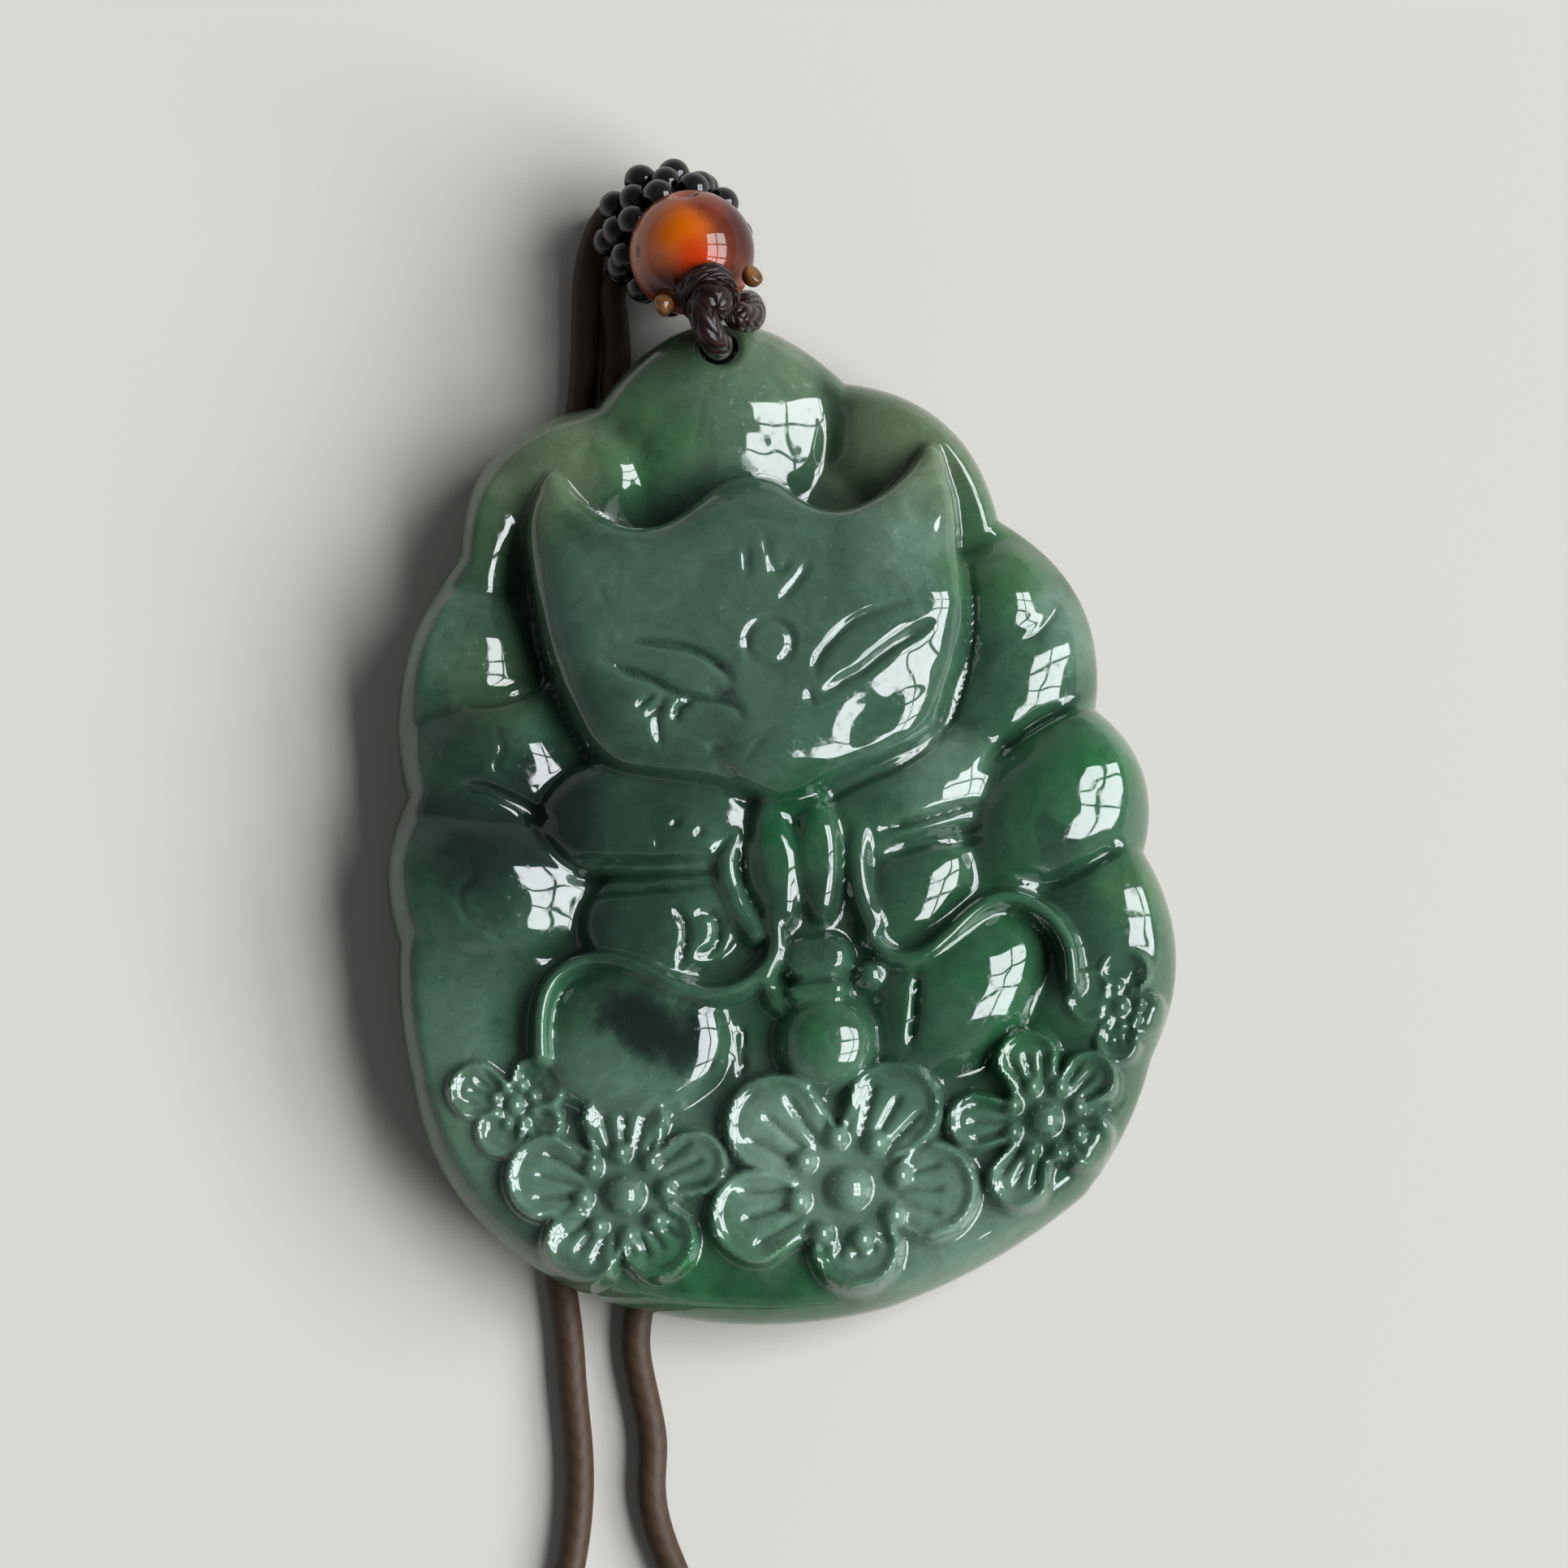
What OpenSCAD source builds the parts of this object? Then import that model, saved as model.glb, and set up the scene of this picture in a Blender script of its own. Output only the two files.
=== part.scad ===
// Jade pendant: a nine-tailed fox with plum blossoms, carved in high relief on a
// scalloped jade plate. A braided loop through its drilled hole is bound by a small
// knot in front of an agate bead, and the agate sits on a ring woven of small beads,
// through which the necklace cord is doubled.
// The pendant lies face up on its own cord. X is to its right, Y to its top, Z up.
// The origin is on the table, under the middle of the plate.

/* [Jade plate] */
// Height of the plate's flat back above the table
back_z = 1.5; // [1.45:0.01:1.6]
// Thickness of the carved ground between the figures
ground_h = 2.9; // [2.6:0.1:3.1]
// Height of the rim's widest line above the flat back
rim_h = 1.4; // [1.2:0.1:1.6]
// Width over which the rim rounds off
rim_w = 1.9; // [1.5:0.1:2.2]
// Height of the fox's face above the flat back
face_h = 7.5; // [6.8:0.1:7.8]
// Radius of the drilled hole
hole_r = 0.95; // [0.85:0.01:1.0]

/* [Agate bead] */
// Radius of the agate
agate_r = 3.0; // [2.9:0.05:3.0]
// Radius of the agate's bore
bore_r = 0.6; // [0.5:0.05:0.7]

/* [Bead ring] */
// Diameter of one small bead of the woven ring
seed_d = 1.58; // [1.5:0.01:1.58]
// Radius of each row of beads, at the beads' centres
row_r = 3.3; // [3.3:0.01:3.35]
// Distance between the rows along the ring's axis
row_step = 1.35; // [1.3:0.01:1.36]

/* [Cords] */
// Diameter of the braided cord
cord_d = 1.4; // [1.3:0.02:1.4]
// Diameter of the thread inside the agate
thread_d = 0.8; // [0.6:0.05:0.9]
// Radius of the binding knot
knot_r = 1.45; // [1.4:0.01:1.45]
// Length of the binding knot
knot_l = 1.5; // [1.3:0.05:1.5]

/* [Hidden] */

// Middle of the woven ring, its axis, and the two directions across it
ring_at = [-2.4, 28.95, 3.97];
ring_axis = unit([0.3, -0.5, 0.81]);
agate_at = ring_at + 3.35 * ring_axis;
knot_axis = unit([0.15, -0.72, 0.68]);
knot_at = agate_at + 3.8 * knot_axis;
knot_x = unit([1, 0, 0] - knot_axis[0] * knot_axis);
knot_y = cross(knot_axis, knot_x);

// Place of the drilled hole
hole_at = [-0.6, 22.8];

// Outline of the plate, clockwise: x and y where each scallop starts, and how far it
// bulges outward before the next one
outline_rows = [
    [ -6.7,  21.0, 3.6], [  5.3,  20.9, 1.75], [ 11.9,  13.4, 1.75], [ 15.5,   3.75, 1.2],
    [ 17.0,  -3.3, 1.35], [ 16.3, -13.0, 0.4], [ 12.4, -19.2, 0.5], [  2.6, -23.5, 0.7],
    [ -8.6, -22.5, 0.65], [-15.8, -17.9, 0.65], [-18.7, -10.5, 0.25], [-18.75, -4.0, 0.75],
    [-17.7,   3.0, 1.45], [-14.1,  14.3, 2.15]
];

// Rounded swellings: x, y, half width, half height, turn in degrees, top
swellings = [
    // tails
    [  0.2,  19.2, 6.9, 5.7,   0, 5.0], [  8.1,  16.0, 5.8, 4.6, -40, 4.6],
    [ 12.3,   8.9, 3.9, 4.2,   0, 5.2], [ 12.9,   4.4, 3.3, 3.3,   0, 5.0],
    [ 13.6,  -0.8, 3.9, 3.5,   0, 6.0], [ 14.9,  -6.7, 3.2, 4.4,   0, 4.6],
    [-10.6,  15.8, 5.2, 4.5,  40, 4.4], [-13.4,   9.5, 4.0, 3.6,   0, 5.2],
    [-12.6,   4.8, 4.3, 3.6,   0, 5.2], [-13.8,  -1.4, 4.6, 3.9,   0, 5.8],
    [-15.7,  -7.0, 3.2, 4.5,   0, 4.4],
    // chest, shoulders and forearms
    [  0.8,  -5.5, 12.5, 9.0,  0, 4.3], [ -6.2,   0.2, 4.8, 3.4,  -8, 5.9],
    [  7.3,  -0.1, 5.0, 3.4,  14, 5.9], [ -5.7,  -4.4, 3.4, 2.5,   0, 5.4],
    [  6.8,  -4.2, 3.5, 2.5,   8, 5.4],
    // thighs, and the curl of the left paw
    [ -7.8,  -9.8, 4.1, 3.0,   0, 5.7], [  9.1,  -9.7, 3.8, 3.9,   0, 5.7],
    [ -3.9,  -5.8, 1.0, 1.0,   0, 5.5],
    // ball and the two drops beside the collar
    [  0.9, -11.2, 2.4, 2.4,   0, 6.8], [ -1.1,  -8.6, 0.8, 0.8,   0, 5.0],
    [  4.4,  -8.6, 0.8, 0.8,   0, 5.0]
];

// Outline of the fox's face and ears
face_rows = [
    [-9.2, 17.3], [-8.3, 16.0], [-6.4, 14.5], [-4.8, 14.1], [-3.0, 14.7], [-1.5, 15.9],
    [ 0.0, 16.2], [ 1.5, 15.5], [ 3.0, 14.4], [ 4.2, 14.0], [ 5.9, 14.2], [ 7.8, 15.5],
    [ 9.1, 16.5], [ 9.8, 14.4], [ 9.9, 10.6], [ 9.6,  7.2], [ 8.7,  4.9], [ 7.5,  3.0],
    [ 4.0,  1.7], [ 0.6,  0.5], [-3.0,  1.2], [-6.0,  2.3], [-8.5,  3.6], [-9.3,  7.0],
    [-10.4, 10.8], [-10.6, 14.0]
];

// Ribbons, tuft, block and collar: path, half width, top
left_ribbon = [[-1.8, -1.4], [-1.1, -3.1], [-0.7, -5.4], [-1.3, -7.4], [-2.5, -8.1], [-4.1, -8.4],
    [-5.8, -7.7], [-7.5, -6.6], [-9.0, -6.1], [-10.3, -6.2], [-11.5, -7.0], [-12.1, -8.4], [-12.3, -10.2]];
right_ribbon = [[4.1, -2.3], [4.3, -3.6], [3.5, -5.1], [3.4, -6.4], [4.3, -7.5], [5.6, -7.6],
    [7.0, -7.0], [8.4, -5.9], [9.7, -5.2], [11.0, -5.5], [12.2, -6.5], [12.8, -7.9], [12.9, -9.2], [12.2, -11.4]];
bands = [
    [left_ribbon, 0.6, 5.2], [right_ribbon, 0.6, 5.2],
    [[[0.9, -0.3], [1.05, -5.6]], 1.8, 6.5],
    [[[0.4, -7.2], [1.4, -7.2]], 1.1, 5.5],
    [[[-0.3, -9.0], [1.9, -9.0]], 0.6, 5.6]
];

// Plum blossoms: x, y, radius, turn of the first petal, top
blossoms = [
    [  2.0, -17.7, 5.8, 68, 5.2], [ 10.7, -15.75, 4.0, 40, 4.8], [ -9.05, -17.2, 4.8, 60, 4.8],
    [-13.9, -12.3, 2.4, 80, 4.5], [ 14.5, -10.5, 2.2, 50, 4.4]
];

// Loop of braided cord from the front of the knot through the hole, round the plate's
// top edge, and up to the knot again from below
loop_route = concat([knot_at + (knot_l / 2 + 0.2) * knot_axis - 0.55 * knot_x],
    [[-1.15, 23.2, 10.25], [-0.9, 22.4, 9.9], [-0.65, 22.15, 8.95], [-0.6, 22.35, 7.8], [-0.6, 22.8, 6.6],
     [-0.6, 22.8, 4.6], [-0.6, 22.8, 2.2], [-0.55, 22.95, 1.3], [-0.4, 23.4, 0.8], [0, 24.1, 0.76], [0.6, 24.9, 1.2],
     [0.95, 25.2, 2.4], [0.97, 25.17, 3.9], [1.08, 24.78, 5.1], [1.15, 24.2, 6.1], [0.98, 23.72, 6.95]],
    [knot_at + 1.9 * (cos(55) * knot_x + sin(55) * unit([0, 0, -1] + knot_axis[2] * knot_axis))]);

// Necklace cord, from the closure knot up the left side, round the inside of the
// woven ring, and down the right side back to the knot
cord_z = cord_d / 2 + 0.02;
necklace_route = [
    [-11.2, -208, 1.9], [-26, -206, 0.9], [-52, -192, cord_z], [-74, -158, cord_z], [-72, -116, cord_z],
    [-48, -79, cord_z], [-20, -50, cord_z], [-13.5, -33.8, cord_z], [-12.6, -24.7, cord_z],
    [-12.8, -18, cord_z], [-13.2, -8, cord_z], [-12, 4, cord_z], [-9.8, 14, cord_z], [-7.9, 20.5, cord_z],
    [-7.2, 24, cord_z], [-6.95, 26, cord_z], [-6.7, 27.9, cord_z], [-6.2, 29.6, 0.8], [-5.4, 30.9, 1.1],
    [-4.3, 31.2, 1.7], [-3.3, 30.7, 2.6], [-2.8, 29.8, 3.1], [-3.0, 28.9, 2.8], [-3.7, 28.5, 1.9],
    [-4.5, 28.35, 1.05], [-5.25, 27.85, 0.76], [-5.57, 27.05, cord_z], [-5.54, 25.9, cord_z], [-5.6, 24, cord_z],
    [-5.85, 21.5, cord_z], [-4.4, 16, cord_z], [1, 7, cord_z], [6, -1, cord_z], [7, -9, cord_z],
    [2, -16, cord_z], [-4, -18.5, cord_z], [-8, -20.5, cord_z], [-9.4, -23.5, cord_z], [-9.1, -28, cord_z],
    [-8.8, -34.3, cord_z], [-2, -50, cord_z], [28, -79, cord_z], [52, -116, cord_z], [54, -158, cord_z],
    [32, -192, cord_z], [8, -206, 0.9], [-4.8, -208, 1.9]
];

// Thread from the inside of the ring into the agate's bore
thread_route = [[-4.05, 29.7, 2.7], [-3.95, 29.85, 3.6], [-3.0, 30.0, 4.4], [-2.35, 29.9, 4.45], agate_at - 3.15 * knot_axis, agate_at - 2.2 * knot_axis,
    agate_at, agate_at + 2.7 * knot_axis];

function unit(v) = v / norm(v);
function turned(v, angle) = [v[0] * cos(angle) + v[1] * sin(angle), v[1] * cos(angle) - v[0] * sin(angle)];

// Higher of two heights, with the crease between them filled over a width of k
function blend_up(a, b, k) = max(a, b) + pow(max(k - abs(a - b), 0), 2) / (4 * k);
function highest(heights, k, i = 0, so_far = 0) =
    i == len(heights) ? so_far : highest(heights, k, i + 1, blend_up(so_far, heights[i], k));

// Height of a rounded swelling at distance q of its half width, falling away outside
function dome(q, low, top) = q < 1 ? low + (top - low) * sqrt(1 - q * q) : low - 5 * (q - 1);
function swelling(p, row) =
    let (d = turned([p[0] - row[0], p[1] - row[1]], row[4]))
    dome(norm([d[0] / row[2], d[1] / row[3]]), ground_h - 0.3, row[5]);

function to_segment(p, a, b) =
    let (t = min(1, max(0, (p - a) * (b - a) / ((b - a) * (b - a))))) norm(p - a - t * (b - a));
function to_path(p, path) = min([for (i = [0:len(path) - 2]) to_segment(p, path[i], path[i + 1])]);
function band_height(p, band) = dome(to_path(p, band[0]) / band[1], band[2] - band[1] - 0.4, band[2]);

function inside(p, rows) =
    len([for (i = [0:len(rows) - 1])
        let (a = rows[i], b = rows[(i + 1) % len(rows)])
        if ((a[1] > p[1]) != (b[1] > p[1]) && p[0] < (b[0] - a[0]) * (p[1] - a[1]) / (b[1] - a[1]) + a[0]) 1]) % 2 == 1;
function face_height(p) =
    let (d = to_path(p, concat(face_rows, [face_rows[0]])), deep = min(d / 3.2, 1))
    inside(p, face_rows) ? 5.0 + (face_h - 5.0) * sqrt(1 - pow(1 - deep, 2)) - 0.006 * pow(norm(p - [0, 8]), 2)
                         : 5.0 - 4 * d;

function petal(blossom, i) =
    let (angle = blossom[3] + 72 * i) [blossom[0] + 0.62 * blossom[2] * cos(angle), blossom[1] + 0.62 * blossom[2] * sin(angle)];
function blossom_height(p, b) =
    let (middle = norm(p - [b[0], b[1]]) / b[2])
    middle > 1.6 ? 0 :
    highest(concat([for (i = [0:4]) dome(norm(p - petal(b, i)) / (0.43 * b[2]), b[4] - 1.2, b[4])],
        [dome(middle / 0.3, b[4] - 1.4, b[4])]), 0.2);

function relief(p) = highest(concat(
    [for (row = swellings) swelling(p, row)],
    [for (band = bands) band_height(p, band)],
    [for (b = blossoms) blossom_height(p, b)],
    [face_height(p)]), 0.35, 0, ground_h);

// Points of the plate's outline, a little more than a millimetre apart
outline = [for (i = [0:len(outline_rows) - 1])
    let (row = outline_rows[i], next = outline_rows[(i + 1) % len(outline_rows)],
        a = [row[0], row[1]], b = [next[0], next[1]], out = unit([a[1] - b[1], b[0] - a[0]]),
        steps = round(norm(b - a) / 1.06))
    for (j = [0:steps - 1])
        let (t = j / steps) a + (b - a) * t + out * row[2] * 4 * t * (1 - t)];

// Rings of the plate from the middle of its face over the rim to the middle of its back:
// share of the outline's distance, and 1 on the face or 0 on the side and back
face_shares = concat([for (j = [1:37]) j * 0.0249], [0.943, 0.962, 0.978, 0.99, 0.998]);
plate_rings = concat([for (s = face_shares) [s, 1]], [[1, 0]], [[0.992, 0.35]], [[0.965, 0]]);

function face_z(p, share) =
    let (inward = min((1 - share) * norm(p) / share / rim_w, 1))
    rim_h + (relief(p) - rim_h) * sqrt(1 - pow(1 - inward, 2));

module jade_pendant() {
    n = len(outline);
    rings = len(face_shares);
    side = [[1.0, rim_h], [0.993, 0.5], [0.965, 0]];
    points = concat(
        [[0, 0, relief([0, 0])]],
        [for (s = face_shares) for (o = outline) [o[0] * s, o[1] * s, face_z(o * s, s)]],
        [for (row = side) for (o = outline) [o[0] * row[0], o[1] * row[0], row[1]]],
        [[0, 0, 0]]);
    last = rings + len(side) - 1;
    color([0.27, 0.40, 0.32])
    translate([0, 0, back_z])
    difference() {
        polyhedron(points, concat(
            [for (i = [0:n - 1]) [0, 1 + i, 1 + (i + 1) % n]],
            [for (r = [0:last - 1]) for (i = [0:n - 1]) for (half = [0, 1])
                let (a = 1 + r * n + i, b = 1 + r * n + (i + 1) % n)
                half == 0 ? [a, a + n, b + n] : [a, b + n, b]],
            [for (i = [0:n - 1]) [len(points) - 1, 1 + last * n + (i + 1) % n, 1 + last * n + i]]));
        translate([hole_at[0], hole_at[1], -1]) cylinder(r = hole_r, h = 9, $fn = 48);
    }
}

// Smooth curve through the points of a route
function through(p, i, t) =
    let (a = p[max(i - 1, 0)], b = p[i], c = p[i + 1], d = p[min(i + 2, len(p) - 1)])
    0.5 * (2 * b + (c - a) * t + (2 * a - 5 * b + 4 * c - d) * t * t + (3 * b - a - 3 * c + d) * t * t * t);
function smooth(p, steps) = concat(
    [for (i = [0:len(p) - 2]) let (n = steps[min(i, len(steps) - 1)]) for (j = [0:n - 1]) through(p, i, j / n)],
    [p[len(p) - 1]]);

// Direction across the tube, carried along it without twist
function carried(p, i = 1, acc = [[1, 0, 0]]) =
    i == len(p) ? acc :
    let (t = unit(p[min(i + 1, len(p) - 1)] - p[i - 1]), last = acc[len(acc) - 1])
    carried(p, i + 1, concat(acc, [unit(last - (last * t) * t)]));

// Tube swept along a list of points
module tube(p, d, sides) {
    first = unit(p[1] - p[0]);
    across = carried(p, 1, [unit(cross(first, abs(first[2]) < 0.9 ? [0, 0, 1] : [1, 0, 0]))]);
    ring = [for (i = [0:len(p) - 1])
        let (t = unit(p[min(i + 1, len(p) - 1)] - p[max(i - 1, 0)]), u = unit(across[i] - (across[i] * t) * t), w = cross(t, u))
        for (k = [0:sides - 1]) p[i] + d / 2 * (cos(360 * k / sides) * u + sin(360 * k / sides) * w)];
    polyhedron(ring, concat(
        [[for (k = [0:sides - 1]) k]],
        [for (i = [0:len(p) - 2]) for (k = [0:sides - 1])
            let (a = i * sides + k, b = i * sides + (k + 1) % sides) [a, a + sides, b + sides, b]],
        [[for (k = [sides - 1:-1:0]) (len(p) - 1) * sides + k]]));
}

// Turns a shape's Z axis along a direction and moves it
module along(at, direction) {
    translate(at) rotate([0, acos(direction[2]), atan2(direction[1], direction[0])]) children();
}

module hanging_loop() {
    color([0.22, 0.14, 0.12]) tube(smooth(loop_route, [2]), cord_d, 8);
}

// Four turns of thread wound round the cord
module wrap_knot() {
    turn_d = knot_l / 4;
    color([0.2, 0.13, 0.12])
    along(knot_at - knot_l / 2 * knot_axis, knot_axis) {
        cylinder(r = knot_r - turn_d / 2, h = knot_l, $fn = 48);
        for (i = [0:3])
            translate([0, 0, (i + 0.5) * turn_d])
                rotate_extrude($fn = 48) translate([knot_r - turn_d / 2 - 0.02, 0]) circle(r = turn_d / 2, $fn = 24);
    }
}

// Melted end of the cord: a short stub with a round tip
module cord_end(at, direction) {
    color([0.62, 0.43, 0.2])
    along(at, direction) {
        cylinder(r = 0.55, h = 0.7, $fn = 32);
        translate([0, 0, 0.7]) sphere(r = 0.55, $fn = 32);
    }
}

module cord_end_left() {
    cord_end(knot_at - 1.7 * knot_x + 0.3 * knot_axis, unit([-0.9, 0.05, -0.2]));
}

module cord_end_right() {
    cord_end(knot_at + 1.8 * knot_x - 0.35 * knot_axis, unit([0.6, 0.35, 0.1]));
}

module agate_bead() {
    color([0.65, 0.25, 0.1])
    difference() {
        translate(agate_at) sphere(r = agate_r, $fn = 64);
        along(agate_at - 4 * knot_axis, knot_axis) cylinder(r = bore_r, h = 8, $fn = 32);
    }
}

module bead_thread() {
    color([0.15, 0.1, 0.1]) tube(smooth(thread_route, [2]), thread_d, 6);
}

// Ring of three woven rows of small beads
module bail_ring() {
    color([0.08, 0.08, 0.09])
    along(ring_at, ring_axis)
    for (row = [-1:1])
        translate([0, 0, row * row_step])
            rotate_extrude($fn = 64) translate([row_r, 0]) circle(r = seed_d / 2, $fn = 32);
}

module necklace_cord() {
    color([0.2, 0.13, 0.11])
    tube(smooth(necklace_route, [1, 2, 2, 2, 2, 2, 1, 1, 1, 1, 1, 1, 1, 1, 1, 1, 1, 2, 2, 2, 2, 2, 2, 2, 2, 2, 2, 1,
        1, 1, 2, 2, 2, 2, 2, 2, 2, 1, 1, 2, 2, 2, 2, 2, 2, 1]), cord_d, 8);
}

// Plain knot that closes the necklace
module closure_knot() {
    color([0.2, 0.13, 0.11])
    translate([-11, -208, 1.9]) rotate([0, 90, 0]) cylinder(r = 1.6, h = 6, $fn = 48);
}

jade_pendant();
hanging_loop();
wrap_knot();
cord_end_left();
cord_end_right();
agate_bead();
bead_thread();
bail_ring();
necklace_cord();
closure_knot();
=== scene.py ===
# Jade pendant of a nine-tailed fox, lying face up on its own cord.
# Sizes in the tables are in millimetres: x to the right, y to the top, z up from the table.
import math
import random

import bpy
import numpy as np
from mathutils import Matrix, Vector


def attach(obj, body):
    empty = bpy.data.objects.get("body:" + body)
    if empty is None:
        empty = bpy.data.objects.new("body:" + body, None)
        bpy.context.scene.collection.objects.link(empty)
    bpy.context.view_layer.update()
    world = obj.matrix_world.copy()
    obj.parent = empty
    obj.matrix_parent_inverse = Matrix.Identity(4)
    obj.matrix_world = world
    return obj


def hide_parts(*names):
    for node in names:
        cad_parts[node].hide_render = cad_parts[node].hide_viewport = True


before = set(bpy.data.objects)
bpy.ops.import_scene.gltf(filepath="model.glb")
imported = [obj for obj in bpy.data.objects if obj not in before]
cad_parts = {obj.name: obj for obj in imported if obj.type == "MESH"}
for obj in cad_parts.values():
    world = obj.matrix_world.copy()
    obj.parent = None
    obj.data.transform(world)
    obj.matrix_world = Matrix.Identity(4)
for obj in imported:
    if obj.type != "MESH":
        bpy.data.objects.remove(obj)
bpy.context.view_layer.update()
mm = 0.001
scene = bpy.context.scene


def unit(v):
    v = np.asarray(v, float)
    return v / np.linalg.norm(v)


# camera: nearly straight down, turned a little so that the top leans left
view = {"distance": 260, "tilt": 9, "roll": 6, "target": (0.33, 1.5, 5.0), "frameWidth": 74.3,
        "sensor": 36, "pixels": 1932}
tilt, roll = math.radians(view["tilt"]), math.radians(view["roll"])
viewBack = Vector((0, -math.sin(tilt), math.cos(tilt)))
viewUp = Vector((0, math.cos(tilt), math.sin(tilt)))
viewRight = Vector((1, 0, 0))
imageRight = viewRight * math.cos(roll) - viewUp * math.sin(roll)
imageUp = viewRight * math.sin(roll) + viewUp * math.cos(roll)


def addCamera():
    place = (Vector(view["target"]) + viewBack * view["distance"]) * mm
    bpy.ops.object.camera_add(location=place)
    camera = bpy.context.object
    camera.name = "camera"
    turn = Matrix((imageRight, imageUp, viewBack)).transposed().to_4x4()
    camera.matrix_world = Matrix.Translation(place) @ turn
    camera.data.sensor_width = view["sensor"]
    camera.data.lens = view["sensor"] * view["distance"] / view["frameWidth"]
    camera.data.clip_start = 0.01
    scene.camera = camera


addCamera()
print("camera placed")

# places that several pieces share
ringAt = np.array([-2.4, 28.95, 3.97])
ringAxis = unit([0.3, -0.5, 0.81])
agateRadius = 3.0
agateAt = ringAt + 3.35 * ringAxis
knotAxis = unit([0.15, -0.72, 0.68])
knotAt = agateAt + 3.8 * knotAxis
knotX = unit(np.array([1, 0, 0]) - knotAxis[0] * knotAxis)
knotY = np.cross(knotAxis, knotX)
knotLength = 1.5


def deselectAll():
    if bpy.context.object and bpy.context.object.mode != "OBJECT":
        bpy.ops.object.mode_set(mode="OBJECT")
    bpy.ops.object.select_all(action="DESELECT")


def selectOnly(active, *others):
    deselectAll()
    for piece in (active, *others):
        piece.select_set(True)
    bpy.context.view_layer.objects.active = active


def turnFacesOut(doubles=0):
    # of the active piece, with points closer than doubles merged first
    bpy.ops.object.mode_set(mode="EDIT")
    bpy.ops.mesh.select_all(action="SELECT")
    if doubles:
        bpy.ops.mesh.remove_doubles(threshold=doubles)
    bpy.ops.mesh.normals_make_consistent(inside=False)
    bpy.ops.object.mode_set(mode="OBJECT")


def smoothRoute(points, step):
    # smooth curve through the points, with a point about every step
    p = np.array(points, float)
    out = []
    for i in range(len(p) - 1):
        a, b, c, d = p[max(i - 1, 0)], p[i], p[i + 1], p[min(i + 2, len(p) - 1)]
        count = max(2, int(round(np.linalg.norm(c - b) / step)))
        for t in np.arange(count) / count:
            out.append(0.5 * (2 * b + (c - a) * t + (2 * a - 5 * b + 4 * c - d) * t * t
                              + (3 * b - a - 3 * c + d) * t ** 3))
    out.append(p[-1])
    return np.array(out)


def makePiece(name, verts, faces, uvs):
    # verts in mm, and one uv pair for each vertex
    mesh = bpy.data.meshes.new(name)
    mesh.from_pydata([tuple(v) for v in np.asarray(verts) * mm], [], faces)
    layer = mesh.uv_layers.new(name="UVMap")
    corner = np.empty(len(mesh.loops), dtype=np.int32)
    mesh.loops.foreach_get("vertex_index", corner)
    layer.data.foreach_set("uv", np.asarray(uvs, dtype=np.float32)[corner].ravel())
    piece = bpy.data.objects.new(name, mesh)
    scene.collection.objects.link(piece)
    selectOnly(piece)
    bpy.ops.object.shade_smooth()
    return piece


def addTube(name, route, radius, sides):
    # tube along a route, its ring carried along without twist; u goes round, v is millimetres along
    ahead = np.gradient(route, axis=0)
    ahead /= np.linalg.norm(ahead, axis=1)[:, None]
    across = np.cross(ahead[0], [0, 0, 1] if abs(ahead[0][2]) < 0.9 else [1, 0, 0])
    along = np.r_[0, np.cumsum(np.linalg.norm(np.diff(route, axis=0), axis=1))]
    stations = [(place, way, radius, v) for place, way, v in zip(route, ahead, along)]
    # rounded ends: how far out and how wide each ring is, in radii
    for out, wide in ((0.5, 0.87), (0.87, 0.5)):
        stations.insert(0, (route[0] - ahead[0] * radius * out, ahead[0], radius * wide, -radius * out))
        stations.append((route[-1] + ahead[-1] * radius * out, ahead[-1], radius * wide,
                         along[-1] + radius * out))
    turns = 2 * np.pi * np.arange(sides + 1) / sides
    verts, uvs, faces = [], [], []
    for place, way, r, v in stations:
        across = across - np.dot(across, way) * way
        across /= np.linalg.norm(across)
        side = np.cross(way, across)
        for k, turn in enumerate(turns):
            verts.append(place + r * (math.cos(turn) * across + math.sin(turn) * side))
            uvs.append((k / sides, v))
    ring = sides + 1
    for i in range(len(stations) - 1):
        for k in range(sides):
            a = i * ring + k
            faces.append((a, a + 1, a + 1 + ring, a + ring))
    for i, flip in ((0, True), (len(stations) - 1, False)):
        loop = [i * ring + k for k in range(sides)]
        faces.append(tuple(reversed(loop)) if flip else tuple(loop))
    piece = makePiece(name, verts, faces, uvs)
    turnFacesOut(0.000001)
    return piece


def addCord(name, route, look):
    return addTube(name, smoothRoute(route, look["step"]), look["radius"], look["sides"])


# necklace cord: up the left side, round the inside of the woven ring and down again, and a wide
# loop of the rest beyond the bottom of the picture, 607 mm in all
necklace = {"radius": 0.69, "sides": 20, "step": 0.45, "z": 0.72}
hangingLoop = {"radius": 0.69, "sides": 28, "step": 0.22}
beadThread = {"radius": 0.38, "sides": 14, "step": 0.3}


def onTable(*places):
    return [(x, y, necklace["z"]) for x, y in places]


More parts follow.
